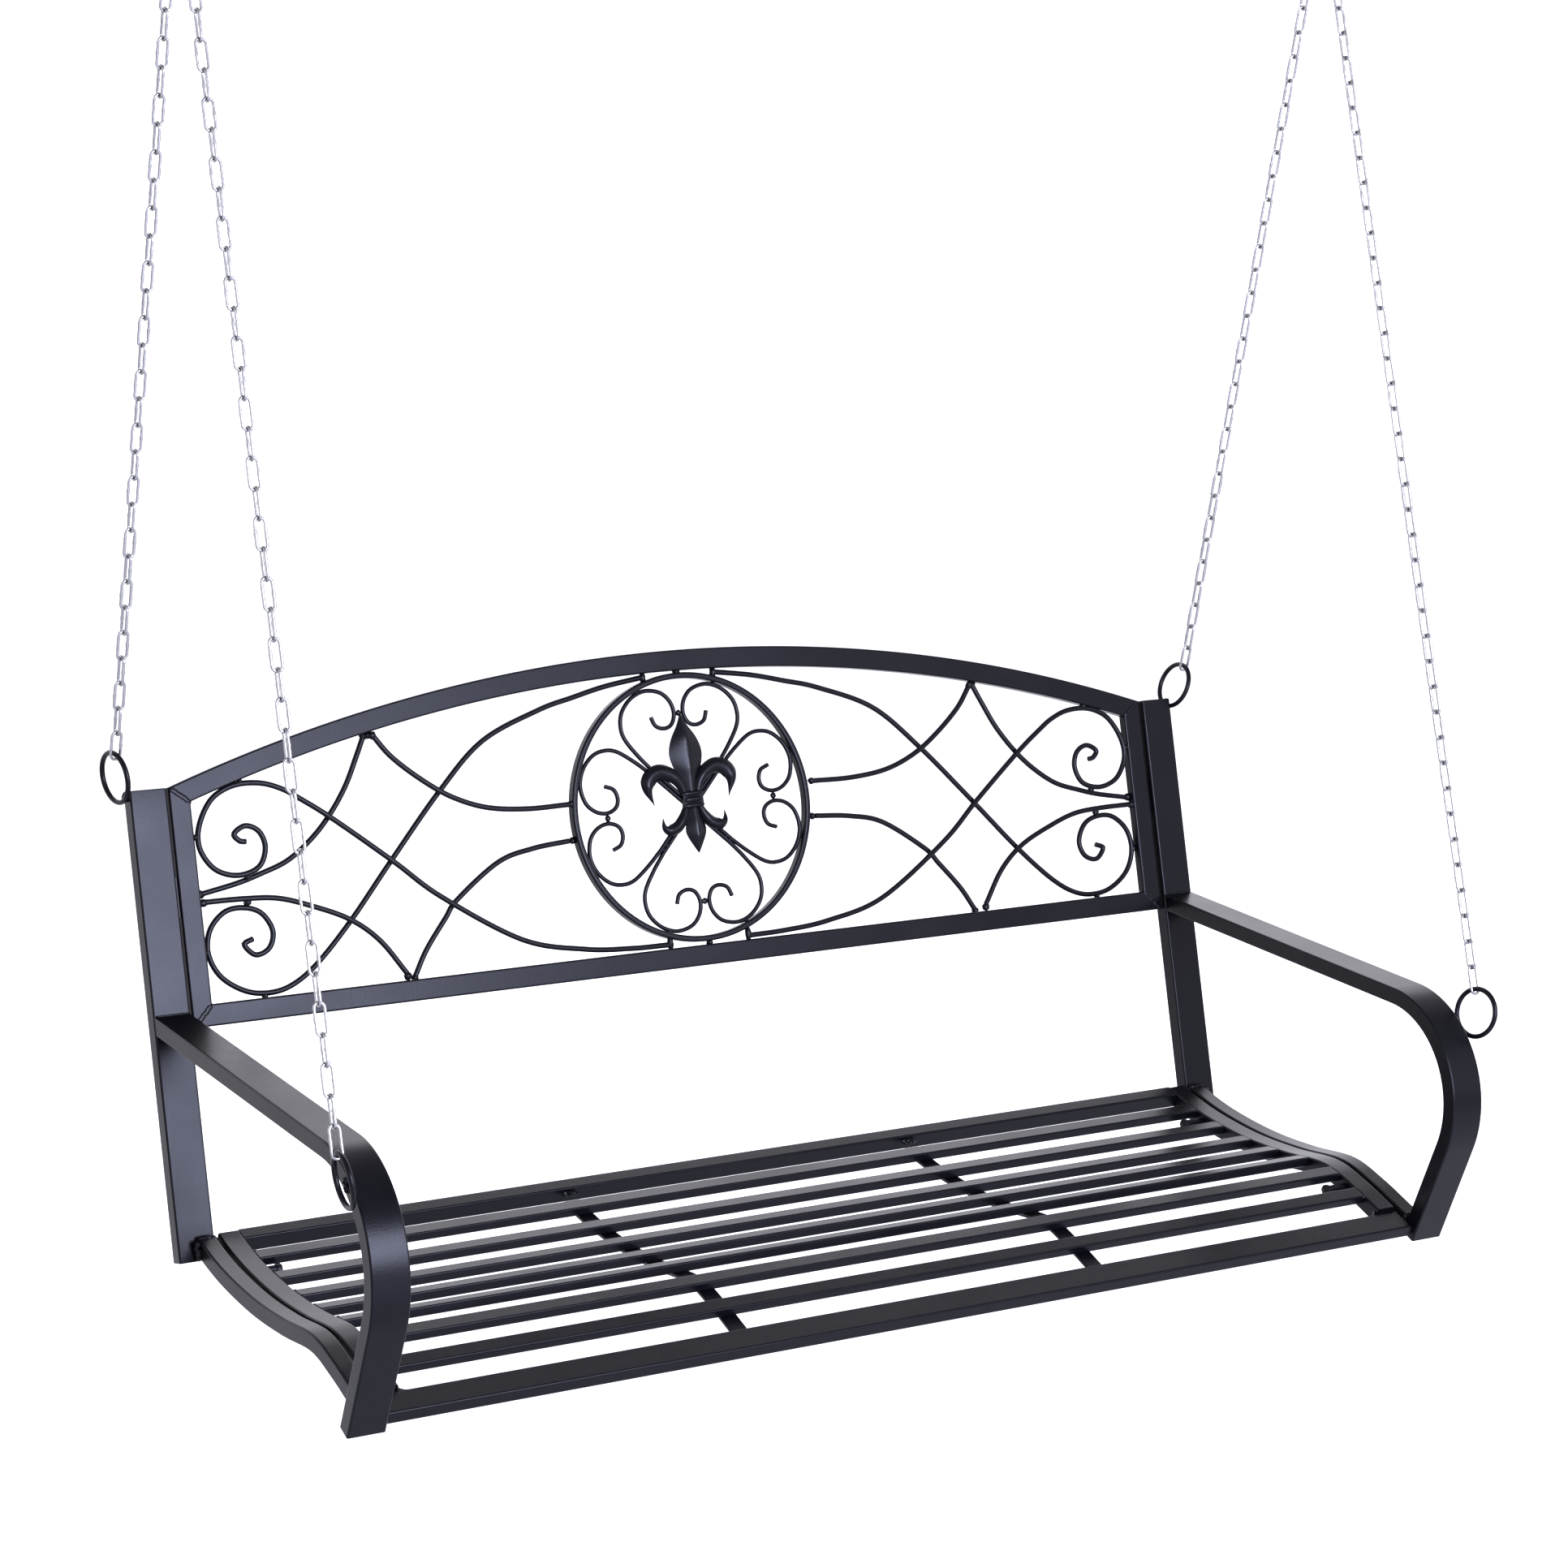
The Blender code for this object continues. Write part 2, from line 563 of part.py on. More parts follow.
def build_seat(material, parent):
    made = []
    for side in (-1, 1):
        x = side * (SEAT_OUT - SEAT_SIDE_W / 2)
        path = seat_line(SEAT_D / 2, SEAT_REAR_Y, SEAT_FRONT_Y)
        bm = sweep(side_plane(x), path, box_section(SEAT_SIDE_W, SEAT_D),
                   cuts=(None, (-math.sin(SEAT_FRONT_TILT), math.cos(SEAT_FRONT_TILT))))
        made.append(add_object(f"seat_side_{side_name(side)}", bm, material, parent))
    inside = SEAT_OUT - SEAT_SIDE_W - GAP
    rear_y = SEAT_REAR_Y - SEAT_REAR_W / 2
    made.append(cross_bar("seat_rear_rail", *seat_frame_at(rear_y, 0.0), SEAT_REAR_W, SEAT_D,
                          inside, material, parent))
    forward = Vector((-math.cos(SEAT_FRONT_TILT), -math.sin(SEAT_FRONT_TILT)))
    made.append(cross_bar("seat_front_rail", Vector(SEAT_FRONT_MID), forward, SEAT_FRONT_W,
                          SEAT_FRONT_D, SEAT_OUT, material, parent))
    for i, back in enumerate(SLAT_BACKS):
        made.append(cross_bar(f"slat_{i + 1}", *seat_frame_at(-back - SLAT_W / 2, 0.0),
                              SLAT_W, SLAT_D, inside, material, parent))
    for side in (-1, 1):
        path = seat_line(SLAT_D + GAP + SUPPORT_D / 2, rear_y - SEAT_REAR_W / 2 - SUPPORT_REAR_LAP,
                         SEAT_FRONT_MID[0] + SEAT_FRONT_W / 2 + SUPPORT_FRONT_LAP)
        bm = sweep(side_plane(side * SUPPORT_X), path,
                   box_section(SUPPORT_W, SUPPORT_D, STRAP_CHAMFER))
        made.append(add_object(f"seat_support_{side_name(side)}", bm, material, parent))
    return made


# ---------------------------------------------------------------- fasteners
def turned(x_axis_point, side, profile, sides=12):
    """A closed turned body on an axis along X: profile of (distance out, radius)."""
    bm = bmesh.new()
    rings = []
    for out, radius in profile:
        ring = []
        for i in range(sides):
            angle = math.tau * (i + 0.5) / sides
            offset = Vector((side * out, radius * math.cos(angle), radius * math.sin(angle)))
            ring.append(bm.verts.new(x_axis_point + offset))
        rings.append(ring)
    for one, two in zip(rings, rings[1:]):
        for k in range(sides):
            bm.faces.new((one[k], one[(k + 1) % sides], two[(k + 1) % sides], two[k]))
    bm.faces.new(rings[0])
    bm.faces.new(list(reversed(rings[-1])))
    return bm


def build_bolts(rails, material, parent):
    """Seat bolts along X, from inside the seat, over a sleeve into the side rail."""
    inner = SEAT_OUT - SEAT_SIDE_W
    tip = RAIL_OUT - RAIL_W + BOLT_DEEP
    head = inner - SLEEVE_LENGTH
    profile = ((head - BOLT_HEAD_T, BOLT_HEAD_R - BOLT_EDGE),
               (head - BOLT_HEAD_T + BOLT_EDGE, BOLT_HEAD_R),
               (head, BOLT_HEAD_R), (head, SLEEVE_R), (inner - GAP, SLEEVE_R),
               (inner - GAP, BOLT_R), (tip - BOLT_EDGE, BOLT_R), (tip, BOLT_R - BOLT_EDGE))
    for side in (-1, 1):
        for place, y in (("rear", BOLT_REAR_Y), ("front", BOLT_FRONT_Y)):
            point, _ = seat_frame_at(y, BOLT_SINK)
            axis = bench(0.0, point.x, point.y)
            cutter = add_object(f"hole_{place}_{side_name(side)}",
                                turned(axis, side, ((inner - 0.005, BOLT_HOLE_R),
                                                    (tip + GAP, BOLT_HOLE_R))),
                                material)
            cutter.hide_render = True
            cutter.display_type = "WIRE"
            for rail in rails[side]:
                hole = rail.modifiers.new(f"{place} bolt hole", "BOOLEAN")
                hole.operation = "DIFFERENCE"
                hole.solver = "EXACT"
                hole.object = cutter
            bolt = add_object(f"seat_bolt_{place}_{side_name(side)}",
                              turned(axis, side, profile), material, parent)
            smooth_round(bolt)


# ---------------------------------------------------------------- hanging gear
def ring_contact(centre, side, yaw, lean, towards):
    """Centre of a ring's wire where a chain pulling towards a point bears on it."""
    outward = Vector((side, 0.0, 0.0))
    along = Vector((side * math.sin(yaw), -math.cos(yaw), 0.0))
    up = (Vector((0.0, 0.0, math.cos(lean))) + outward * math.sin(lean)).normalized()
    middle = bench(side * centre[0], centre[1], centre[2])
    pull = towards - middle
    flat = (pull.dot(along) * along + pull.dot(up) * up).normalized()
    return middle + RING_R * flat


def build_strand(name, top, bottom, turn, top_wire, bottom_wire, material, parent):
    """A chain as one long closed sling around the hanger's wire and a ring's wire."""
    down = (bottom - top).normalized()
    across = Vector((math.cos(turn), math.sin(turn), 0.0))
    across = (across - across.dot(down) * down).normalized()
    length = (bottom - top).length
    plane = Plane(top, across, down)
    high = -(top_wire + LINK_WIRE + GAP) + LINK_R
    low = length + (bottom_wire + LINK_WIRE + RING_SLACK) - LINK_R
    path = []
    for i in range(9):
        angle = math.pi * i / 8
        path.append(Vector((LINK_R * math.cos(angle), high - LINK_R * math.sin(angle))))
    for i in range(9):
        angle = math.pi * (1 + i / 8)
        path.append(Vector((LINK_R * math.cos(angle), low - LINK_R * math.sin(angle))))
    bm = sweep(plane, path, round_section(LINK_WIRE), closed=True)
    return smooth_round(add_object(name, bm, material, parent), 70.0)


def build_hanger(side, material, parent):
    """Long closed link that rides on the ceiling eye and carries two chains."""
    x = side * HANG_X
    top = SWING_Z + EYE_WIRE + HANGER_WIRE + GAP
    straight = HANGER_TALL / 2 - HANGER_HALF
    middle = top - HANGER_TALL / 2
    plane = Plane((x, 0.0, middle), (0, 1, 0), (0, 0, 1))
    path = []
    for i in range(11):
        angle = math.pi * i / 10
        path.append(Vector((HANGER_HALF * math.cos(angle),
                            straight + HANGER_HALF * math.sin(angle))))
    for i in range(11):
        angle = math.pi * (1 + i / 10)
        path.append(Vector((HANGER_HALF * math.cos(angle),
                            -straight + HANGER_HALF * math.sin(angle))))
    bm = sweep(plane, path, round_section(HANGER_WIRE, 8), closed=True)
    return smooth_round(add_object(f"hanger_{side_name(side)}", bm, material, parent), 60.0)


def build_ceiling_fitting(side, material):
    """Square fixing plate and the staple welded under it."""
    x = side * HANG_X
    half = PLATE_SIZE / 2
    plane = Plane((x, 0.0, 0.0), (1, 0, 0), (0, 1, 0))
    square = [(half, half), (-half, half), (-half, -half), (half, -half)]
    plate = add_object(f"ceiling_eye_{side_name(side)}",
                       extrude_outline(plane, square, -PLATE_T, 0.0), material)
    for px, py in ((1, 1), (-1, 1), (-1, -1), (1, -1)):
        spot = Vector((x + px * PLATE_HOLE, py * PLATE_HOLE, 0.0))
        drill = add_object(f"plate_hole_{side_name(side)}_{px + 1}{py + 1}",
                           upright_cylinder(spot, SCREW_HOLE_R, -2 * PLATE_T, PLATE_T), material)
        drill.hide_render = True
        drill.display_type = "WIRE"
        cut = plate.modifiers.new("screw hole", "BOOLEAN")
        cut.operation = "DIFFERENCE"
        cut.solver = "EXACT"
        cut.object = drill
    top = -PLATE_T / 2
    path = [Vector((-EYE_R, top)), Vector((-EYE_R, SWING_Z + EYE_R))]
    for i in range(1, 12):
        angle = math.pi * (1 + i / 12)
        path.append(Vector((EYE_R * math.cos(angle), SWING_Z + EYE_R + EYE_R * math.sin(angle))))
    path += [Vector((EYE_R, SWING_Z + EYE_R)), Vector((EYE_R, top))]
    front = Plane((x, 0.0, 0.0), (1, 0, 0), (0, 0, 1))
    bm = sweep(front, path, round_section(EYE_WIRE, 8))
    staple = smooth_round(add_object(f"staple_{side_name(side)}", bm, material), 60.0)
    staple.hide_render = True
    staple.display_type = "WIRE"
    weld = plate.modifiers.new("staple weld", "BOOLEAN")
    weld.operation = "UNION"
    weld.solver = "EXACT"
    weld.object = staple


def upright_cylinder(spot, radius, low, high, sides=12):
    plane = Plane(spot, (1, 0, 0), (0, 1, 0))
    outline = [(radius * math.cos(math.tau * i / sides), radius * math.sin(math.tau * i / sides))
               for i in range(sides)]
    return extrude_outline(plane, outline, low, high)


def hanger_arc_centre(side):
    top = SWING_Z + EYE_WIRE + HANGER_WIRE + GAP
    return Vector((side * HANG_X, 0.0, top - HANGER_TALL + HANGER_HALF))


def build_chains(side, material, parent):
    """The rear and front chains of one side, hung from the hanger's lower bend."""
    centre = hanger_arc_centre(side)
    for place, ring, yaw, lean in (("rear", REAR_RING, REAR_YAW, REAR_LEAN),
                                   ("front", FRONT_RING, FRONT_YAW, FRONT_LEAN)):
        low = ring_contact(ring, side, yaw[side], lean[side], centre)
        pull = low - centre
        flat = Vector((0.0, pull.y, pull.z)).normalized()
        high = centre + HANGER_HALF * flat
        build_strand(f"chain_{place}_{side_name(side)}", high, low, side * yaw[side] / 2,
                     HANGER_WIRE, RING_WIRE, material, parent)


def chain_axis(side):
    """Middle of the two chain ends on the rings, and the line through them."""
    centre = hanger_arc_centre(side)
    rear = ring_contact(REAR_RING, side, REAR_YAW[side], REAR_LEAN[side], centre)
    front = ring_contact(FRONT_RING, side, FRONT_YAW[side], FRONT_LEAN[side], centre)
    return rear, front


def main():
    clear_scene()
    black = make_material("black_powder_coat", (0.035, 0.037, 0.043), 0.0, 0.42)
    zinc = make_material("zinc_plate", (0.62, 0.63, 0.65), 1.0, 0.34)

    axes = {}
    for side in (-1, 1):
        name = side_name(side)
        axes[f"hook_{name}"] = add_axis(f"axis_hook_{name}", (side * HANG_X, 0.0, SWING_Z))
        centre = hanger_arc_centre(side)
        axes[f"chains_{name}"] = add_axis(f"axis_chains_{name}",
                                          centre - Vector((0.0, 0.0, HANGER_HALF)))
    rear, front = chain_axis(-1)
    bench_axis = add_axis("axis_bench", (-HANG_X, (rear.y + front.y) / 2,
                                         (rear.z + front.z) / 2))

    rails = {-1: [], 1: []}
    for side in (-1, 1):
        build_post(side, black, bench_axis)
        build_armrest(side, black, bench_axis)
        rails[side].append(build_side_rail(side, black, bench_axis))
        build_hanging_ring(f"ring_rear_{side_name(side)}", REAR_RING, side,
                           REAR_YAW[side], REAR_LEAN[side], black, bench_axis)
        build_hanging_ring(f"ring_front_{side_name(side)}", FRONT_RING, side,
                           FRONT_YAW[side], FRONT_LEAN[side], black, bench_axis)
    build_panel_frame(black, bench_axis)
    build_scrolls(black, bench_axis)
    build_medallion(black, bench_axis)
    seat = build_seat(black, bench_axis)
    rails[-1].append(seat[0])
    rails[1].append(seat[1])
    build_bolts(rails, black, bench_axis)
    for side in (-1, 1):
        name = side_name(side)
        build_hanger(side, zinc, axes[f"hook_{name}"])
        build_chains(side, zinc, axes[f"chains_{name}"])
        build_ceiling_fitting(side, zinc)


main()
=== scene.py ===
"""Looks of a hanging steel porch swing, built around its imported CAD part.

The frame's origin is midway between the two ceiling fittings, on their fixing
plane; +X runs along the bench, -Y is its front and +Z is up. Sizes are metres.
"""
import math

import bmesh
import bpy
from mathutils import Matrix, Vector


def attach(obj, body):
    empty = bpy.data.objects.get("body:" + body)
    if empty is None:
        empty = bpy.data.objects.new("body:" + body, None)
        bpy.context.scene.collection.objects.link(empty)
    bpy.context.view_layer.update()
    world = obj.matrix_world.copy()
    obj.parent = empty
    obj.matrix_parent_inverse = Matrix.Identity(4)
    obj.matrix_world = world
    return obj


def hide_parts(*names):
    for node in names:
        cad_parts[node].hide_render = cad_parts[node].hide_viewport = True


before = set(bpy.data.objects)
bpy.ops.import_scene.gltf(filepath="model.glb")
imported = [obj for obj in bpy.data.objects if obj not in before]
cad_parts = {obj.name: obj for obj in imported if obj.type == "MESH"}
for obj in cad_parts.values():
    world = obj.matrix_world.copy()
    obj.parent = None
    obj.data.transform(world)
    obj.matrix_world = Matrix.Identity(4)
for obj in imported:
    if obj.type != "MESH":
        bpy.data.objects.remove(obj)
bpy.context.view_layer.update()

# ---- camera, at the photograph's viewing angle ----
LENS = 86.86
CAMERA_PLACE = (-1.9564, -3.2841, -0.3297)
CAMERA_PITCH, CAMERA_TURN = math.radians(90 - 9.493), math.radians(-30.545)
FLOOR_Z, FLOOR_REACH = -1.95, 12.0

# ---- light and colours ----
WALL_LIGHT, CEILING_LIGHT = 2.6, 0.95
WALLS_END, CEILING_STARTS = 0.40, 0.72
WORLD_TINT = (0.92, 0.92, 1.0, 1.0)
KEY_PLACE, KEY_TARGET = (0.30, -3.6, -0.20), (0.10, 0.1, -0.45)
KEY_SIZE, KEY_WATTS, KEY_TINT = (2.0, 1.75), 530, (0.76, 0.79, 1.0)
REAR_PLACE, REAR_TARGET = (1.7, 3.1, 1.3), (1.7, 3.1, -1.0)
REAR_SIZE, REAR_WATTS, REAR_TINT = (4.0, 2.4), 140, (0.94, 0.94, 1.0)
COAT_DARK, COAT_LIGHT = (0.0006, 0.0006, 0.0011), (0.0013, 0.0013, 0.0021)
COAT_GLOSS = (0.26, 0.34)
ZINC_BRIGHT, ZINC_DARK, ZINC_GLOSS = (0.26, 0.26, 0.265), (0.18, 0.18, 0.19), (0.20, 0.42)
PLATE_BRIGHT, PLATE_DARK, PLATE_GLOSS = (0.25, 0.25, 0.26), (0.17, 0.17, 0.18), (0.22, 0.5)
FLOOR_DARK, FLOOR_LIGHT = (0.76, 0.76, 0.76), (0.80, 0.80, 0.80)

# ---- the part's own sizes ----
HALF_WIDTH = 0.6362
CEILING_DROP = 0.955
SETBACK = 0.2296
POST_W, POST_D = 0.0387, 0.0188
POST_RAKE = math.radians(12.5)
POST_LENGTH = 0.4708
ARM_D = 0.018
ARM_TOP_DROP = 0.2203
ARM_SLOPE = math.radians(4.3)
ARM_RUN = 0.4067
ARM_BEND = 0.1043
LEG_LEAN = math.radians(24.8)
LEG_LENGTH = 0.1190
RAIL_W, RAIL_D = 0.0188, 0.0185
RAIL_OUT = 0.617
RING_R, RING_WIRE = 0.0252, 0.0027
REAR_RING = (0.648, 0.0075, 0.0135)
FRONT_RING = (0.6485, -0.5335, -0.2695)
REAR_YAW = {-1: math.radians(-8.7), 1: 0.0}
REAR_LEAN = {-1: math.radians(5.3), 1: math.radians(20.7)}
FRONT_YAW = {-1: math.radians(6.0), 1: math.radians(9.5)}
FRONT_LEAN = {-1: math.radians(8.2), 1: math.radians(9.9)}

PANEL_SETBACK, PANEL_D = 0.0030, 0.012
PANEL_HALF, PANEL_TUBE, PANEL_HEIGHT = 0.5943, 0.0223, 0.2415
ARCH_RISE = 0.0995
SCROLL_R, LAYER = 0.0030, 0.00317
MEDALLION_U, MEDALLION_S = -0.0024, 0.0705
MEDALLION_R, MEDALLION_T = 0.1455, 0.0066
MEDALLION_TURN = math.radians(2.0)
HEART_WIRE = 0.0020
HEART_COAT = 0.0004

SEAT_OUT, SEAT_SIDE_W, SEAT_D = 0.5945, 0.0225, 0.0176
SEAT_REAR_W = 0.0170
SEAT_FRONT_W, SEAT_FRONT_D = 0.0298, 0.0130
SEAT_FRONT_MID, SEAT_FRONT_TILT = (-0.4895, -0.4966), math.radians(20.0)
SLAT_W, SLAT_D = 0.0178, 0.0098
SLAT_BACKS = (0.1360, 0.1855, 0.2360, 0.2840, 0.3375, 0.3915, 0.4345)
SUPPORT_X = 0.209
SUPPORT_W, SUPPORT_D = 0.018, 0.004
SUPPORT_REAR_LAP, SUPPORT_FRONT_LAP = 0.0045, 0.0025
SEAT_CURVE = ((-0.060, -0.4222), (-0.085, -0.4287), (-0.120, -0.4412), (-0.170, -0.4522),
              (-0.240, -0.4600), (-0.310, -0.4606), (-0.380, -0.4572), (-0.430, -0.4702),
              (-0.470, -0.4852), (-0.510, -0.5000), (-0.545, -0.5124))
RAIL_REAR_Y, RAIL_FRONT_Y = -0.1050, -0.4880
SEAT_REAR_Y, SEAT_FRONT_Y = -0.0970, -0.4717
BOLT_HEAD_R, BOLT_HEAD_T = 0.0058, 0.0060
SLEEVE_R = 0.0042
BOLT_REAR_Y, BOLT_FRONT_Y, BOLT_SINK = -0.1605, -0.4160, 0.0102

EYE_R, EYE_WIRE = 0.016, 0.004
PLATE_SIZE, PLATE_T, PLATE_HOLE = 0.070, 0.004, 0.026
HANGER_WIRE, HANGER_HALF, HANGER_TALL = 0.00275, 0.018, 0.052
HANGER_PLAY = 0.0003
HANG_X, SWING_Z = 0.6525, -0.032

# ---- only in the looks ----
FINE = 0.0015
LINK_WIRE, LINK_HALF = 0.0015, 0.0050
LINK_PITCH = 0.0266
RING_SLACK = 0.0012
WEB_R, WEB_LAP = 0.0100, 0.0010
LEAF_RIM = 0.0014
BOLT_REACH = {-1: 0.0130, 1: 0.0210}
TUBE_EDGE, PANEL_EDGE, RAIL_EDGE, SLAT_EDGE = 0.0019, 0.0019, 0.0019, 0.0016

# ---- drawing aids ----
SQUARE_ON = ((1, 0, 0), (0, 1, 0), (0, 0, 1))
# Corners of a rounded outline: which side, which end, and the turn its arc starts at.
CORNERS = ((1, 1, 0.0), (-1, 1, 0.25), (-1, -1, 0.5), (1, -1, 0.75))

SCROLL_TOP = ((0.517, 0.0610), (0.524, 0.0595), (0.5290, 0.052), (0.516, 0.0450),
              (0.502, 0.052), (0.497, 0.069), (0.506, 0.0875), (0.529, 0.0940),
              (0.552, 0.0865), (0.5655, 0.068), (0.5673, 0.049), (0.559, 0.028),
              (0.545, 0.0120), (0.522, 0.0030), (0.495, 0.0035), (0.473, 0.011),
              (0.455, 0.022), (0.421, 0.0460), (0.359, 0.0955), (0.309, 0.1375),
              (0.222, 0.1912), (0.150, 0.2090), (0.095, 0.2140), (0.050, 0.2150))
SCROLL_LOW = ((0.518, 0.159), (0.5280, 0.164), (0.517, 0.1755), (0.5015, 0.170),
              (0.496, 0.153), (0.506, 0.1345), (0.524, 0.1270), (0.545, 0.129),
              (0.5625, 0.145), (0.5675, 0.168), (0.5585, 0.191), (0.539, 0.2070),
              (0.516, 0.2145), (0.487, 0.2120), (0.455, 0.194), (0.411, 0.153),
              (0.358, 0.095), (0.295, 0.028), (0.240, -0.020), (0.172, -0.047),
              (0.130, -0.0575), (0.090, -0.0665), (0.044, -0.0730))
BAR_UPPER_SIDE = ((0.5714, 0.1095), (0.530, 0.102), (0.504, 0.095), (0.472, 0.084),
                  (0.443, 0.064), (0.420, 0.041), (0.400, 0.014), (0.385, -0.014),
                  (0.3745, -0.0350))
BAR_UPPER_ARCH = ((0.3655, -0.0335), (0.348, -0.0112), (0.318, 0.0142), (0.285, 0.0355),
                  (0.246, 0.050), (0.200, 0.0555), (0.1500, 0.0552))
BAR_LOWER_SIDE = ((0.5714, 0.1175), (0.526, 0.1180), (0.490, 0.121), (0.455, 0.132),
                  (0.414, 0.150), (0.383, 0.175), (0.3565, 0.2120))
BAR_LOWER_RAIL = ((0.3450, 0.2160), (0.329, 0.190), (0.304, 0.160), (0.2880, 0.1420),
                  (0.237, 0.108), (0.195, 0.0975), (0.1520, 0.0935))
BARS = (("scroll_top", -1, SCROLL_TOP), ("scroll_low", 1, SCROLL_LOW),
        ("bar_upper_side", 1, BAR_UPPER_SIDE), ("bar_upper_arch", -1, BAR_UPPER_ARCH),
        ("bar_lower_side", -1, BAR_LOWER_SIDE), ("bar_lower_rail", 1, BAR_LOWER_RAIL))
HEART_NECK = 0.0150
HEART_HALF = ((0.0440, 0.0409), (0.0613, 0.0557), (0.0807, 0.0690), (0.0955, 0.0720),
              (0.1104, 0.0680), (0.1236, 0.0552), (0.1298, 0.0378), (0.1262, 0.0194),
              (0.1155, 0.0087), (0.1022, 0.0056), (0.0910, 0.0102), (0.0874, 0.0194),
              (0.0910, 0.0296), (0.1012, 0.0342))

# The fleur's curls: knots, spacing, least width, gain, where widest, tip, rise, full width.
LOW_CURL = (((0.0075, 0.0560), (0.0125, 0.0430), (0.0220, 0.0335), (0.0350, 0.0290),
             (0.0470, 0.0340), (0.0515, 0.0460), (0.0460, 0.0640)),
            0.0016, 0.0040, 0.0050, 0.62, 0.30, 0.0052, 0.007)
TOP_CURL = (((0.0085, 0.0700), (0.0130, 0.0800), (0.0210, 0.0895), (0.0310, 0.0925),
             (0.0375, 0.0885), (0.0380, 0.0785)),
            0.0014, 0.0034, 0.0032, 0.55, 0.35, 0.0045, 0.006)

# Weld nubs on one half of the back panel: across, down, half width, half height, layer.
PANEL_NUBS = ((0.5702, 0.0520, 0.0042, 0.0032, -1), (0.5170, 0.0000, 0.0030, 0.0035, -1),
              (0.5702, 0.1680, 0.0042, 0.0032, 1), (0.5120, 0.2175, 0.0032, 0.0036, 1),
              (0.5180, 0.0965, 0.0042, 0.0034, 0), (0.5210, 0.1222, 0.0042, 0.0034, 0),
              (0.5700, 0.1090, 0.0055, 0.0046, 1), (0.5700, 0.1180, 0.0055, 0.0042, -1),
              (0.3745, -0.0358, 0.0046, 0.0042, 1), (0.3668, -0.0350, 0.0046, 0.0042, -1),
              (0.3705, -0.0355, 0.0050, 0.0036, 0),
              (0.3560, 0.2150, 0.0046, 0.0042, -1), (0.3455, 0.2175, 0.0042, 0.0036, 1),
              (0.0480, 0.2130, 0.0036, 0.0078, -1), (0.0430, -0.0725, 0.0036, 0.0070, 1),
              (0.1480, 0.0552, 0.0040, 0.0038, -1), (0.1480, 0.0935, 0.0040, 0.0038, 1))

RAKE_DOWN = Vector((0.0, -math.sin(POST_RAKE), -math.cos(POST_RAKE)))
RAKE_BACK = Vector((0.0, math.cos(POST_RAKE), -math.sin(POST_RAKE)))
PANEL_MID = PANEL_SETBACK + PANEL_D / 2
FLEUR_BACK = PANEL_MID - HEART_WIRE - 0.0003
BENCH_ORIGIN = Vector((0.0, SETBACK, -CEILING_DROP))
SIDES = (-1, 1)
RINGS = (("rear", REAR_RING, REAR_YAW, REAR_LEAN), ("front", FRONT_RING, FRONT_YAW, FRONT_LEAN))


def bench(x, y, z):
    return BENCH_ORIGIN + Vector((x, y, z))


def side_name(side):
    return "right" if side > 0 else "left"


# ---- materials ----
def node(tree, kind, place, **values):
    made = tree.nodes.new(kind)
    made.location = place
    for name, value in values.items():
        if name in made.inputs:
            made.inputs[name].default_value = value
        else:
            setattr(made, name, value)
    return made


def noise(tree, place, scale, detail):
    where = tree.nodes.get("Texture Coordinate") or tree.nodes.new("ShaderNodeTexCoord")
    made = node(tree, "ShaderNodeTexNoise", place, Scale=scale, Detail=detail)
    tree.links.new(where.outputs["Object"], made.inputs["Vector"])
    return made


def spread(tree, place, source, low, high, from_low=0.3, from_high=0.7):
    made = node(tree, "ShaderNodeMapRange", place, **{"From Min": from_low,
                "From Max": from_high, "To Min": low, "To Max": high})
    tree.links.new(source, made.inputs["Value"])
    return made


def mix_colour(tree, place, factor, one, two):
    made = node(tree, "ShaderNodeMix", place, data_type="RGBA")
    made.inputs["A"].default_value = (*one, 1.0)
    made.inputs["B"].default_value = (*two, 1.0)
    tree.links.new(factor, made.inputs["Factor"])
    return next(s for s in made.outputs if s.type == "RGBA")


def new_material(name):
    mat = bpy.data.materials.new(name)
    mat.use_nodes = True
    return mat, mat.node_tree, mat.node_tree.nodes["Principled BSDF"]


def powder_coat():
    """Satin black powder coat: fine orange peel, slow gloss drift, faint dust in the tint."""
    mat, tree, shader = new_material("black_powder_coat_look")
    drift = noise(tree, (-900, 200), 9.0, 3.0)
    cloud = noise(tree, (-900, -50), 55.0, 4.0)
    peel = noise(tree, (-900, -300), 620.0, 2.0)
    grain = noise(tree, (-900, -550), 2600.0, 1.0)
    tint = mix_colour(tree, (-500, 300), cloud.outputs["Fac"], COAT_DARK, COAT_LIGHT)
    tree.links.new(tint, shader.inputs["Base Color"])
    gloss = spread(tree, (-700, 60), drift.outputs["Fac"], *COAT_GLOSS)
    fine = spread(tree, (-700, -160), grain.outputs["Fac"], -0.02, 0.02)
    total = node(tree, "ShaderNodeMath", (-450, 0), operation="ADD")
    tree.links.new(gloss.outputs["Result"], total.inputs[0])
    tree.links.new(fine.outputs["Result"], total.inputs[1])
    tree.links.new(total.outputs["Value"], shader.inputs["Roughness"])
    low = node(tree, "ShaderNodeBump", (-500, -300), Strength=0.22, Distance=0.0004)
    tree.links.new(peel.outputs["Fac"], low.inputs["Height"])
    high = node(tree, "ShaderNodeBump", (-250, -400), Strength=0.10, Distance=0.0001)
    tree.links.new(grain.outputs["Fac"], high.inputs["Height"])
    tree.links.new(low.outputs["Normal"], high.inputs["Normal"])
    tree.links.new(high.outputs["Normal"], shader.inputs["Normal"])
    shader.inputs["Specular IOR Level"].default_value = 0.085
    shader.inputs["Specular Tint"].default_value = (0.90, 0.92, 1.0, 1.0)
    return mat


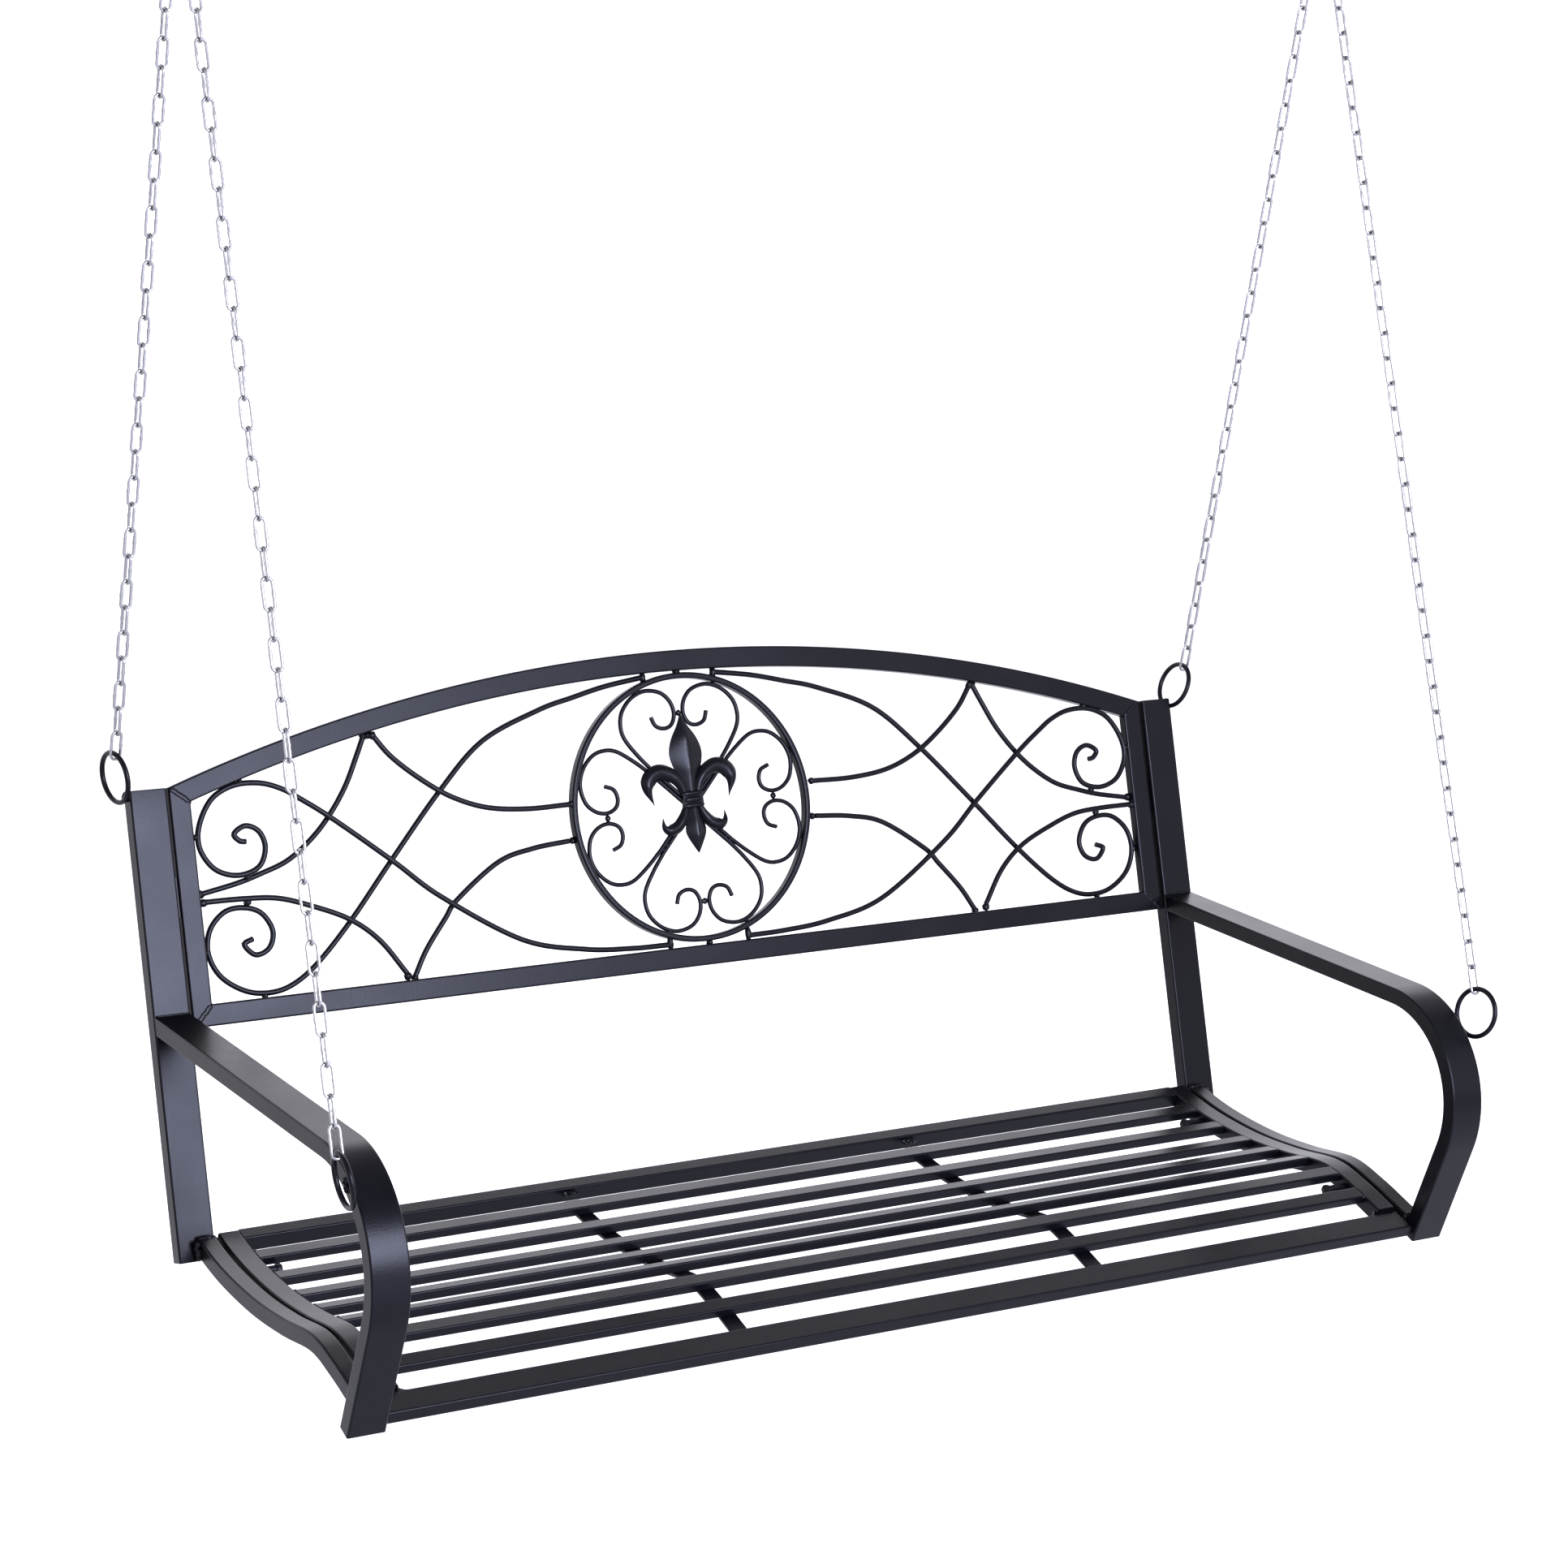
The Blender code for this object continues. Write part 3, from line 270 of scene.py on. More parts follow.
def zinc_plate(name, bright, dark, gloss_range):
    """Bright zinc: cloudy tint, crystal spangle and drawn-wire roughness."""
    mat, tree, shader = new_material(name)
    cloud = noise(tree, (-900, 200), 160.0, 3.0)
    fine = noise(tree, (-900, -100), 1500.0, 2.0)
    where = tree.nodes.get("Texture Coordinate")
    cells = node(tree, "ShaderNodeTexVoronoi", (-900, -350), Scale=420.0)
    tree.links.new(where.outputs["Object"], cells.inputs["Vector"])
    tint = mix_colour(tree, (-500, 300), cloud.outputs["Fac"], dark, bright)
    tree.links.new(tint, shader.inputs["Base Color"])
    gloss = spread(tree, (-600, 0), cells.outputs["Distance"], *gloss_range, 0.0, 1.0)
    tree.links.new(gloss.outputs["Result"], shader.inputs["Roughness"])
    bump = node(tree, "ShaderNodeBump", (-400, -300), Strength=0.2, Distance=0.0002)
    tree.links.new(fine.outputs["Fac"], bump.inputs["Height"])
    tree.links.new(bump.outputs["Normal"], shader.inputs["Normal"])
    shader.inputs["Metallic"].default_value = 1.0
    return mat


def pale_floor():
    mat, tree, shader = new_material("pale_floor_look")
    cloud = noise(tree, (-700, 100), 2.0, 3.0)
    tint = mix_colour(tree, (-400, 200), cloud.outputs["Fac"], FLOOR_DARK, FLOOR_LIGHT)
    tree.links.new(tint, shader.inputs["Base Color"])
    shader.inputs["Roughness"].default_value = 0.8
    shader.inputs["Specular IOR Level"].default_value = 0.1
    return mat


BLACK = powder_coat()
ZINC = zinc_plate("zinc_look", ZINC_BRIGHT, ZINC_DARK, ZINC_GLOSS)
ZINC_PLATE = zinc_plate("zinc_plate_look", PLATE_BRIGHT, PLATE_DARK, PLATE_GLOSS)


# ---- curves ----
def smooth(knots, spacing=FINE):
    """A Catmull-Rom curve through the knots, read at an even spacing."""
    pts = [Vector(p) for p in knots]
    pts = [2 * pts[0] - pts[1]] + pts + [2 * pts[-1] - pts[-2]]
    dense = []
    for a, b, c, d in zip(pts, pts[1:], pts[2:], pts[3:]):
        for i in range(12):
            t = i / 12
            dense.append(0.5 * ((2 * b) + (c - a) * t + (2 * a - 5 * b + 4 * c - d) * t * t
                                + (3 * b - a - 3 * c + d) * t ** 3))
    dense.append(pts[-2].copy())
    length = sum((q - p).length for p, q in zip(dense, dense[1:]))
    return resample(dense, max(2, round(length / spacing)))


def resample(points, count):
    lengths = [0.0]
    for p, q in zip(points, points[1:]):
        lengths.append(lengths[-1] + (q - p).length)
    result = []
    j = 0
    for i in range(count + 1):
        goal = lengths[-1] * i / count
        while j < len(points) - 2 and lengths[j + 1] < goal:
            j += 1
        part = (goal - lengths[j]) / max(lengths[j + 1] - lengths[j], 1e-9)
        result.append(points[j].lerp(points[j + 1], min(max(part, 0.0), 1.0)))
    return result


def arc(centre, radius, start, end, count):
    return [Vector(centre) + radius * Vector((math.cos(a), math.sin(a)))
            for a in (start + (end - start) * i / count for i in range(count + 1))]


def wobble(*values):
    """A repeatable small variation between -1 and 1."""
    total = 0.0
    for i, value in enumerate(values):
        total += math.sin(value * (12.9898 + 7.31 * i) + 4.1 * i)
    return math.sin(total * 43.7585)


# ---- sections ----
def round_box(across, deep, edge, steps=4):
    """Rounded rectangle: (offset in the path's plane, offset out of it)."""
    a, b = deep / 2, across / 2
    r = min(edge, a * 0.98, b * 0.98)
    keep = r * 0.12
    ring = []
    for cx, cy, start in CORNERS:
        centre = Vector((cx * (a - r), cy * (b - r)))
        bend = [centre + r * Vector((math.cos(math.tau * (start + 0.25 * i / steps)),
                                     math.sin(math.tau * (start + 0.25 * i / steps))))
                for i in range(steps + 1)]
        before = Vector((math.sin(math.tau * start), -math.cos(math.tau * start)))
        end = math.tau * (start + 0.25)
        after = Vector((-math.sin(end), math.cos(end)))
        ring += [bend[0] + keep * before] + bend + [bend[-1] + keep * after]
    return [(p.x, p.y) for p in ring]


def round_wire(radius, sides=14):
    return [(radius * math.cos(math.tau * i / sides), radius * math.sin(math.tau * i / sides))
            for i in range(sides)]


class Plane:
    """A drawing plane: p and q lie in it, r stands off it."""

    def __init__(self, origin, p_axis, q_axis):
        self.origin = Vector(origin)
        self.p = Vector(p_axis).normalized()
        self.q = Vector(q_axis).normalized()
        self.r = self.p.cross(self.q)

    def at(self, point, off=0.0):
        return self.origin + point[0] * self.p + point[1] * self.q + off * self.r


def side_plane(x):
    return Plane(bench(x, 0.0, 0.0), (0, 1, 0), (0, 0, 1))


def panel_plane(side=1.0):
    """The back panel's front plane, seen so that p points to one side; r is then
    to the back on the right side and to the front on the left one."""
    return Plane(bench(0.0, 0.0, 0.0), (side, 0, 0), RAKE_DOWN)


def panel_sign(side):
    """Turns a depth behind the panel's front plane into an offset along r."""
    return 1.0 if side > 0 else -1.0


def skin(bm, one, two):
    """Quads between two rings of the same number of points."""
    sides = len(one)
    for k in range(sides):
        bm.faces.new((one[k], one[(k + 1) % sides], two[(k + 1) % sides], two[k]))


def loft(bm, rings):
    """Skins a row of rings and closes both its ends."""
    for one, two in zip(rings, rings[1:]):
        skin(bm, one, two)
    bm.faces.new(rings[0])
    bm.faces.new(list(reversed(rings[-1])))


def sweep(bm, plane, path, section, closed=False, cuts=(None, None), shift=0.0, cap=0.0,
          scale=None):
    """Carries a section along a path in a plane; cap rounds the end faces' edges."""
    count = len(path)
    rings = []
    for i, point in enumerate(path):
        before = path[i - 1] if (i > 0 or closed) else path[0]
        after = path[(i + 1) % count] if (i < count - 1 or closed) else path[-1]
        into = Vector(point) - Vector(before)
        out = Vector(after) - Vector(point)
        into = into.normalized() if into.length > 1e-9 else out.normalized()
        out = out.normalized() if out.length > 1e-9 else into
        along = (into + out).normalized()
        normal = Vector((-along.y, along.x))
        flat = Vector((-into.y, into.x))
        across = normal / max(normal.dot(flat), 0.3)
        cut = cuts[0] if i == 0 else cuts[1] if i == count - 1 else None
        if cut is not None:
            cut = Vector(cut).normalized()
            across = cut / cut.dot(flat)
        size = scale[i] if scale else 1.0
        rings.append([bm.verts.new(plane.at(Vector(point) + a * size * across,
                                            b * size + shift)) for a, b in section])
    for i in range(count if closed else count - 1):
        skin(bm, rings[i], rings[(i + 1) % count])
    if closed:
        return
    for ring, neighbour, flip in ((rings[0], rings[1], False), (rings[-1], rings[-2], True)):
        middle = sum((v.co for v in ring), Vector()) / len(ring)
        if cap > 0.0:
            inner_middle = sum((v.co for v in neighbour), Vector()) / len(ring)
            out = (middle - inner_middle).normalized()
            last = ring
            for push, shrink in ((cap * 0.5, cap * 0.13), (cap * 0.87, cap * 0.5),
                                 (cap, cap)):
                new = []
                for v in ring:
                    arm = v.co - middle
                    new.append(bm.verts.new(middle + arm * (1 - shrink / arm.length)
                                            + out * (push - cap)))
                skin(bm, last, new)
                last = new
            for v in ring:
                v.co -= out * cap
            ring = last
        bm.faces.new(list(reversed(ring)) if flip else ring)


def blob(bm, centre, axes, radii, seed=0.0, rough=0.12, rings=7, around=12):
    """A lumpy weld bead: an ellipsoid on three axes."""
    axes = [Vector(a).normalized() for a in axes]
    rows = []
    for i in range(1, rings):
        lat = math.pi * i / rings
        row = []
        for k in range(around):
            lon = math.tau * k / around
            unit = (math.sin(lat) * math.cos(lon), math.sin(lat) * math.sin(lon),
                    math.cos(lat))
            bulge = 1.0 + rough * wobble(seed + 1.7 * math.cos(lon) + 2.3 * math.cos(lat),
                                         seed * 0.7 + 1.3 * math.sin(lon))
            row.append(bm.verts.new(Vector(centre) + sum(
                (unit[n] * radii[n] * bulge * axes[n] for n in range(3)), Vector())))
        rows.append(row)
    top = bm.verts.new(Vector(centre) + radii[2] * axes[2])
    low = bm.verts.new(Vector(centre) - radii[2] * axes[2])
    for one, two in zip(rows, rows[1:]):
        for k in range(around):
            bm.faces.new((one[k], two[k], two[(k + 1) % around], one[(k + 1) % around]))
    for k in range(around):
        bm.faces.new((top, rows[0][k], rows[0][(k + 1) % around]))
        bm.faces.new((low, rows[-1][(k + 1) % around], rows[-1][k]))


def bead(bm, start, end, radius, flat=1.0, up=(0, 0, 1), seed=0.0, step=0.0024):
    """A weld seam: overlapping ripples along a straight line."""
    start, end = Vector(start), Vector(end)
    run = end - start
    along = run.normalized()
    up = Vector(up)
    up = (up - up.dot(along) * along).normalized()
    across = along.cross(up)
    count = max(6, int(run.length / step) * 4)
    sides = 10
    rings = []
    for i in range(count + 1):
        t = i / count
        ripple = 1.0 + 0.10 * abs(math.sin(math.pi * t * count / 4))
        ripple += 0.10 * wobble(seed + 9.0 * t, seed)
        size = radius * ripple * min(1.0, 0.25 + 3.0 * min(t, 1 - t) * run.length / radius / 3)
        middle = start + t * run + across * radius * 0.15 * wobble(seed + 4.0 * t)
        rings.append([bm.verts.new(middle + size * (math.cos(a) * across
                                                    + flat * math.sin(a) * up))
                      for a in (math.tau * k / sides for k in range(sides))])
    loft(bm, rings)


# ---- pieces ----
def piece(name, bm, body, material, replaces=(), angle=35.0):
    bmesh.ops.recalc_face_normals(bm, faces=bm.faces)
    mesh = bpy.data.meshes.new(name)
    bm.to_mesh(mesh)
    bm.free()
    mesh.shade_smooth()
    mesh.set_sharp_from_angle(angle=math.radians(angle))
    mesh.materials.append(material)
    obj = bpy.data.objects.new(name, mesh)
    bpy.context.collection.objects.link(obj)
    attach(obj, body)
    if replaces:
        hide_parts(*replaces)


def bench_piece(node_name, bm, angle=35.0):
    piece("look_" + node_name, bm, "bench", BLACK, (node_name,), angle=angle)


def swept_piece(node_name, plane, path, section, **how):
    """A piece of the bench made by one sweep."""
    bm = bmesh.new()
    sweep(bm, plane, path, section, **how)
    bench_piece(node_name, bm)


def trace_arm():
    start = Vector((-(ARM_TOP_DROP + ARM_D / 2) * math.tan(POST_RAKE),
                    -(ARM_TOP_DROP + ARM_D / 2)))
    heading = math.pi + ARM_SLOPE
    ahead = Vector((math.cos(heading), math.sin(heading)))
    bend_start = start + ARM_RUN * ahead
    centre = bend_start + ARM_BEND * Vector((-ahead.y, ahead.x))
    turn = math.pi / 2 - ARM_SLOPE + LEG_LEAN
    path = [start, start + 0.5 * ARM_RUN * ahead]
    path += arc(centre, ARM_BEND, heading - math.pi / 2, heading - math.pi / 2 + turn, 56)
    end = heading + turn
    down = Vector((math.cos(end), math.sin(end)))
    path += [path[-1] + 0.5 * LEG_LENGTH * down, path[-1] + LEG_LENGTH * down]
    return path


def build_side_frames():
    rake = Vector((math.sin(POST_RAKE), math.cos(POST_RAKE)))
    leg = Vector((-math.sin(LEG_LEAN), math.cos(LEG_LEAN)))
    back = Vector((math.cos(POST_RAKE), -math.sin(POST_RAKE))) * POST_D / 2
    down = Vector((-math.sin(POST_RAKE), -math.cos(POST_RAKE)))
    for side in SIDES:
        x = side * (HALF_WIDTH - POST_W / 2)
        name = side_name(side)
        post = [back + down * POST_LENGTH * i / 12 for i in range(13)]
        swept_piece(f"post_{name}", side_plane(x), post,
                    round_box(POST_W, POST_D, TUBE_EDGE), cap=0.0012)
        swept_piece(f"armrest_{name}", side_plane(x), trace_arm(),
                    round_box(POST_W, ARM_D, TUBE_EDGE), cuts=(rake, None))
        swept_piece(f"side_rail_{name}", side_plane(side * (RAIL_OUT - RAIL_W / 2)),
                    seat_line(RAIL_D / 2, RAIL_REAR_Y, RAIL_FRONT_Y),
                    round_box(RAIL_W, RAIL_D, RAIL_EDGE), cuts=(rake, leg))
        for place, centre, yaw, lean in RINGS:
            build_ring(f"ring_{place}_{name}", centre, side, yaw[side], lean[side])


def ring_axes(centre, side, yaw, lean):
    """An eye ring's middle and the two axes it lies in."""
    middle = bench(side * centre[0], centre[1], centre[2])
    along = Vector((side * math.sin(yaw), -math.cos(yaw), 0.0))
    up = Vector((side * math.sin(lean), 0.0, math.cos(lean)))
    return middle, along, up


def build_ring(node_name, centre, side, yaw, lean):
    swept_piece(node_name, Plane(*ring_axes(centre, side, yaw, lean)),
                arc((0, 0), RING_R, 0.0, math.tau, 72)[:-1], round_wire(RING_WIRE, 16),
                closed=True)


# ---- back panel ----
def arch_line(inset, u):
    radius = (PANEL_HALF ** 2 + ARCH_RISE ** 2) / (2 * ARCH_RISE)
    return radius - ARCH_RISE - math.sqrt((radius - inset) ** 2 - u ** 2)


def build_panel_frame():
    """Tubes with mitred corners, drawn along their middle lines."""
    half = PANEL_TUBE / 2
    radius = (PANEL_HALF ** 2 + ARCH_RISE ** 2) / (2 * ARCH_RISE)
    section = round_box(PANEL_D, PANEL_TUBE, PANEL_EDGE)
    inner = PANEL_HALF - PANEL_TUBE
    corner_top = Vector((PANEL_HALF, 0.0)) - Vector((inner, arch_line(PANEL_TUBE, inner)))
    corner_low = Vector((1.0, 1.0))
    mid = radius - half
    reach = math.asin((PANEL_HALF - half) / mid)
    centre = (0.0, radius - ARCH_RISE)
    arch = arc(centre, mid, -math.pi / 2 - reach, -math.pi / 2 + reach, 96)
    flip = Vector((-corner_top.x, corner_top.y))
    swept_piece("arch", panel_plane(), arch, section, cuts=(flip, corner_top),
                shift=PANEL_MID)
    low = PANEL_HEIGHT - half
    span = PANEL_HALF - half
    line = [Vector((-span + 2 * span * i / 40, low)) for i in range(41)]
    swept_piece("back_bottom_rail", panel_plane(), line, section,
                cuts=(Vector((-1.0, 1.0)), corner_low), shift=PANEL_MID)
    top = arch_line(half, span)
    for side in SIDES:
        line = [Vector((span, top + (low - top) * i / 10)) for i in range(11)]
        swept_piece(f"stile_{side_name(side)}", panel_plane(side), line, section,
                    cuts=(corner_top, corner_low), shift=panel_sign(side) * PANEL_MID)


def build_scrolls():
    for name, layer, knots in BARS:
        for side in SIDES:
            swept_piece(f"{name}_{side_name(side)}", panel_plane(side),
                        smooth(knots, 0.0022), round_wire(SCROLL_R),
                        shift=panel_sign(side) * (PANEL_MID + layer * LAYER), cap=0.0006)


def heart_path():
    point = HEART_WIRE + 0.00015
    half = smooth(HEART_HALF, 0.0016)
    upper = [Vector((HEART_NECK, HEART_NECK - point * math.sqrt(2)))] + half
    lower = [Vector((p.x, -p.y)) for p in reversed(upper)]
    return lower + [Vector((point * math.sqrt(2), 0.0))] + upper


def settle(bm):
    """Carries what is drawn round the panel's middle line to the medallion's centre."""
    drawn = panel_plane().at((0.0, MEDALLION_S), PANEL_MID)
    matrix = Matrix.Rotation(-MEDALLION_TURN, 3, RAKE_BACK)
    bmesh.ops.rotate(bm, verts=bm.verts, cent=drawn, matrix=matrix)
    bmesh.ops.translate(bm, verts=bm.verts, vec=(MEDALLION_U, 0.0, 0.0))


def build_medallion():
    centre = Vector((MEDALLION_U, MEDALLION_S))
    swept_piece("medallion_ring", panel_plane(),
                arc(centre, MEDALLION_R - MEDALLION_T / 2, 0, math.tau, 144)[:-1],
                round_box(PANEL_D, MEDALLION_T, 0.0022), closed=True,
                shift=PANEL_MID)
    for name, angle in (("right", 0.0), ("bottom", 90.0), ("left", 180.0), ("top", 270.0)):
        cos, sin = math.cos(math.radians(angle)), math.sin(math.radians(angle))
        path = [Vector((p.x * cos - p.y * sin, MEDALLION_S + p.x * sin + p.y * cos))
                for p in heart_path()]
        bm = bmesh.new()
        sweep(bm, panel_plane(), path, round_wire(HEART_WIRE + HEART_COAT, 12),
              shift=PANEL_MID, cap=0.0005)
        settle(bm)
        bench_piece(f"heart_{name}", bm)


def leaf(bm, spine, widths, heights, crease, side=1.0):
    """A casting's petal: its front rises from two edges to a ridge over the spine."""
    plane = panel_plane(side)
    sign = panel_sign(side)
    steps = 6
    rings = []
    for i, point in enumerate(spine):
        before = spine[max(i - 1, 0)]
        after = spine[min(i + 1, len(spine) - 1)]
        along = (Vector(after) - Vector(before)).normalized()
        across = Vector((-along.y, along.x))
        ring = []
        for k in range(-steps, steps + 1):
            t = k / steps
            rise = heights[i] * (1.0 - abs(t) ** crease)
            if abs(k) == steps:
                rise = 0.0
            ring.append((t * widths[i], FLEUR_BACK - LEAF_RIM - rise))
        ring.append((widths[i], FLEUR_BACK))
        ring.append((-widths[i], FLEUR_BACK))
        rings.append([bm.verts.new(plane.at(Vector(point) + a * across, sign * depth))
                      for a, depth in ring])
    loft(bm, rings)


def swell(count, peak):
    """Widths of a petal: thin at both ends, widest at peak along it."""
    result = []
    for i in range(count):
        t = i / (count - 1)
        near = t / peak if t < peak else 1 - (t - peak) / (1 - peak)
        result.append(math.sin(math.pi / 2 * min(max(near, 0.0), 1.0)) ** 0.9)
    return result


def build_fleur():
    bm = bmesh.new()
    count = 30
    spine = [Vector((0.0, -0.030 + 0.084 * i / (count - 1))) for i in range(count)]
    outline = smooth(((0.0006, -0.030), (0.0060, -0.0185), (0.0150, -0.0045),
                      (0.0197, 0.010), (0.0178, 0.0235), (0.0120, 0.0380),
                      (0.0078, 0.054)), 0.001)
    widths = [read_width(outline, p.y) for p in spine]
    heights = [0.0066 * min(1.0, w / 0.016) ** 0.8 for w in widths]
    leaf(bm, spine, widths, heights, 1.15)
    spine = [Vector((0.0, 0.071 + 0.049 * i / (count - 1))) for i in range(count)]
    outline = smooth(((0.0060, 0.071), (0.0085, 0.080), (0.0122, 0.093), (0.0112, 0.101),
                      (0.0060, 0.111), (0.0006, 0.120)), 0.001)
    widths = [read_width(outline, p.y) for p in spine]
    heights = [0.0058 * min(1.0, w / 0.011) ** 0.8 for w in widths]
    leaf(bm, spine, widths, heights, 1.15)
    for side in SIDES:
        for knots, spacing, least, gain, peak, tip, rise, full in (LOW_CURL, TOP_CURL):
            curl = smooth(knots, spacing)
            size = [least + gain * s for s in swell(len(curl), peak)]
            size = [w * min(1.0, 0.03 + (len(curl) - 1 - i) / (tip * len(curl)))
                    for i, w in enumerate(size)]
            leaf(bm, curl, size, [rise * min(1.0, w / full) for w in size], 2.2, side)
    for middle, half, radius in ((0.0560, 0.0140, 0.0031), (0.0625, 0.0125, 0.0036),
                                 (0.0690, 0.0138, 0.0031)):
        line = [Vector((half * (2 * i / 16 - 1), middle)) for i in range(17)]
        size = [max(0.12, (1 - abs(2 * i / 16 - 1) ** 4)) for i in range(17)]
        sweep(bm, panel_plane(), line, round_wire(radius, 12),
              shift=FLEUR_BACK - 0.0034, scale=size)
    line = [Vector((0.0122 * (2 * i / 8 - 1), 0.0625)) for i in range(9)]
    sweep(bm, panel_plane(), line, round_box(0.0045, 0.0170, 0.001),
          shift=FLEUR_BACK - 0.0025)
    settle(bm)
    bench_piece("fleur", bm, angle=50.0)


def read_width(outline, level):
    for p, q in zip(outline, outline[1:]):
        if p.y <= level <= q.y:
            return p.x + (q.x - p.x) * (level - p.y) / max(q.y - p.y, 1e-9)
    return outline[0].x if level < outline[0].y else outline[-1].x


# ---- seat ----
def seat_line(offset, y_rear, y_front, spacing=0.008):
    dense = smooth(SEAT_CURVE, FINE)
    under = []
    for before, after in zip(dense, dense[1:]):
        along = (after - before).normalized()
        under.append((before + after) / 2 + offset * Vector((-along.y, along.x)))
    kept = [at_level(under, y_rear)]
    kept += [p for p in under if y_front < p.x < y_rear]
    kept.append(at_level(under, y_front))
    length = sum((q - p).length for p, q in zip(kept, kept[1:]))
    return resample(kept, max(1, round(length / spacing)))


def at_level(line, y):
    """The point where a line running to the front passes y."""
    for p, q in zip(line, line[1:]):
        if q.x <= y <= p.x:
            return p.lerp(q, (p.x - y) / max(p.x - q.x, 1e-9))
    return line[-1].copy()


def seat_frame_at(y, offset):
    line = seat_line(offset, y + 0.004, y - 0.004, spacing=1.0)
    return (line[0] + line[-1]) / 2, (line[-1] - line[0]).normalized()


def cross_bar(node_name, top, along, across, deep, half_length, edge):
    up = Vector((0.0, along.y, -along.x))
    point = top - deep / 2 * Vector((up.y, up.z))
    plane = Plane(bench(0.0, point.x, point.y), (1, 0, 0), up)
    line = [(-half_length + 2 * half_length * i / 24, 0.0) for i in range(25)]
    swept_piece(node_name, plane, line, round_box(across, deep, edge))


def front_rail_frame():
    forward = Vector((-math.cos(SEAT_FRONT_TILT), -math.sin(SEAT_FRONT_TILT)))
    return Vector(SEAT_FRONT_MID), forward


def build_seat():
    inside = SEAT_OUT - SEAT_SIDE_W
    for side in SIDES:
        swept_piece(f"seat_side_{side_name(side)}",
                    side_plane(side * (SEAT_OUT - SEAT_SIDE_W / 2)),
                    seat_line(SEAT_D / 2, SEAT_REAR_Y, SEAT_FRONT_Y),
                    round_box(SEAT_SIDE_W, SEAT_D, RAIL_EDGE),
                    cuts=(None, (-math.sin(SEAT_FRONT_TILT), math.cos(SEAT_FRONT_TILT))))
    rear_y = SEAT_REAR_Y - SEAT_REAR_W / 2
    cross_bar("seat_rear_rail", *seat_frame_at(rear_y, 0.0), SEAT_REAR_W, SEAT_D, inside,
              RAIL_EDGE)
    cross_bar("seat_front_rail", *front_rail_frame(), SEAT_FRONT_W, SEAT_FRONT_D, SEAT_OUT,
              RAIL_EDGE)
    for i, back in enumerate(SLAT_BACKS):
        cross_bar(f"slat_{i + 1}", *seat_frame_at(-back - SLAT_W / 2, 0.0), SLAT_W, SLAT_D,
                  inside, SLAT_EDGE)
    for side in SIDES:
        path = seat_line(SLAT_D + 0.0003 + SUPPORT_D / 2,
                         rear_y - SEAT_REAR_W / 2 - SUPPORT_REAR_LAP,
                         SEAT_FRONT_MID[0] + SEAT_FRONT_W / 2 + SUPPORT_FRONT_LAP)
        swept_piece(f"seat_support_{side_name(side)}", side_plane(side * SUPPORT_X), path,
                    round_box(SUPPORT_W, SUPPORT_D, 0.0009))


def build_bolts():
    inner = SEAT_OUT - SEAT_SIDE_W
    for side in SIDES:
        head = inner - BOLT_REACH[side]
        for place, y in (("rear", BOLT_REAR_Y), ("front", BOLT_FRONT_Y)):
            point, _ = seat_frame_at(y, BOLT_SINK)
            axis = bench(0.0, point.x, point.y)
            profile = ((head - BOLT_HEAD_T, 0.0030), (head - BOLT_HEAD_T + 0.0004, 0.0048),
                       (head - BOLT_HEAD_T + 0.0013, 0.0056), (head - 0.0005, BOLT_HEAD_R),
                       (head, BOLT_HEAD_R - 0.0004), (head, SLEEVE_R),
                       (head + 0.0004, SLEEVE_R), (inner - 0.0003, SLEEVE_R))
            bm = bmesh.new()
            rings = []
            for out, radius in profile:
                count = 24
                ring = []
                for i in range(count):
                    angle = math.tau * i / count
                    flat = 1.0
                    if out < head and radius > 0.004:
                        sector = (angle % (math.pi / 3)) - math.pi / 6
                        flat = min(1.0, math.cos(math.pi / 6) / math.cos(sector) * 1.04)
                    ring.append(bm.verts.new(axis + Vector((
                        side * out, radius * flat * math.cos(angle),
                        radius * flat * math.sin(angle)))))
                rings.append(ring)
            loft(bm, rings)
            bench_piece(f"seat_bolt_{place}_{side_name(side)}", bm, angle=28.0)


# ---- welds ----
def panel_blob(bm, u, s, radii, seed, depth=PANEL_MID):
    """A weld spot on the back panel; its radii run across, through and down."""
    spot = panel_plane().at((u, s), depth)
    blob(bm, spot, ((1, 0, 0), RAKE_BACK, RAKE_DOWN), radii, seed=seed)


def build_welds():
    bm = bmesh.new()
    for side in SIDES:
        for i, (u, s, wide, tall, layer) in enumerate(PANEL_NUBS):
            panel_blob(bm, side * u, s, (wide, 0.0036, tall), i + 0.37 * side,
                       PANEL_MID + layer * LAYER)
        mitre_seams(bm, side)
        arm_welds(bm, side)
        rail_welds(bm, side)
        ring_welds(bm, side)
        slat_welds(bm, side)
        corner_web(bm, side)
    for u, s in ((-0.0035, -0.0762), (0.0017, 0.2176)):
        panel_blob(bm, u, s, (0.0042, 0.0040, 0.0034), s * 50)
    heart_welds(bm)
    piece("look_welds", bm, "bench", BLACK, angle=60.0)


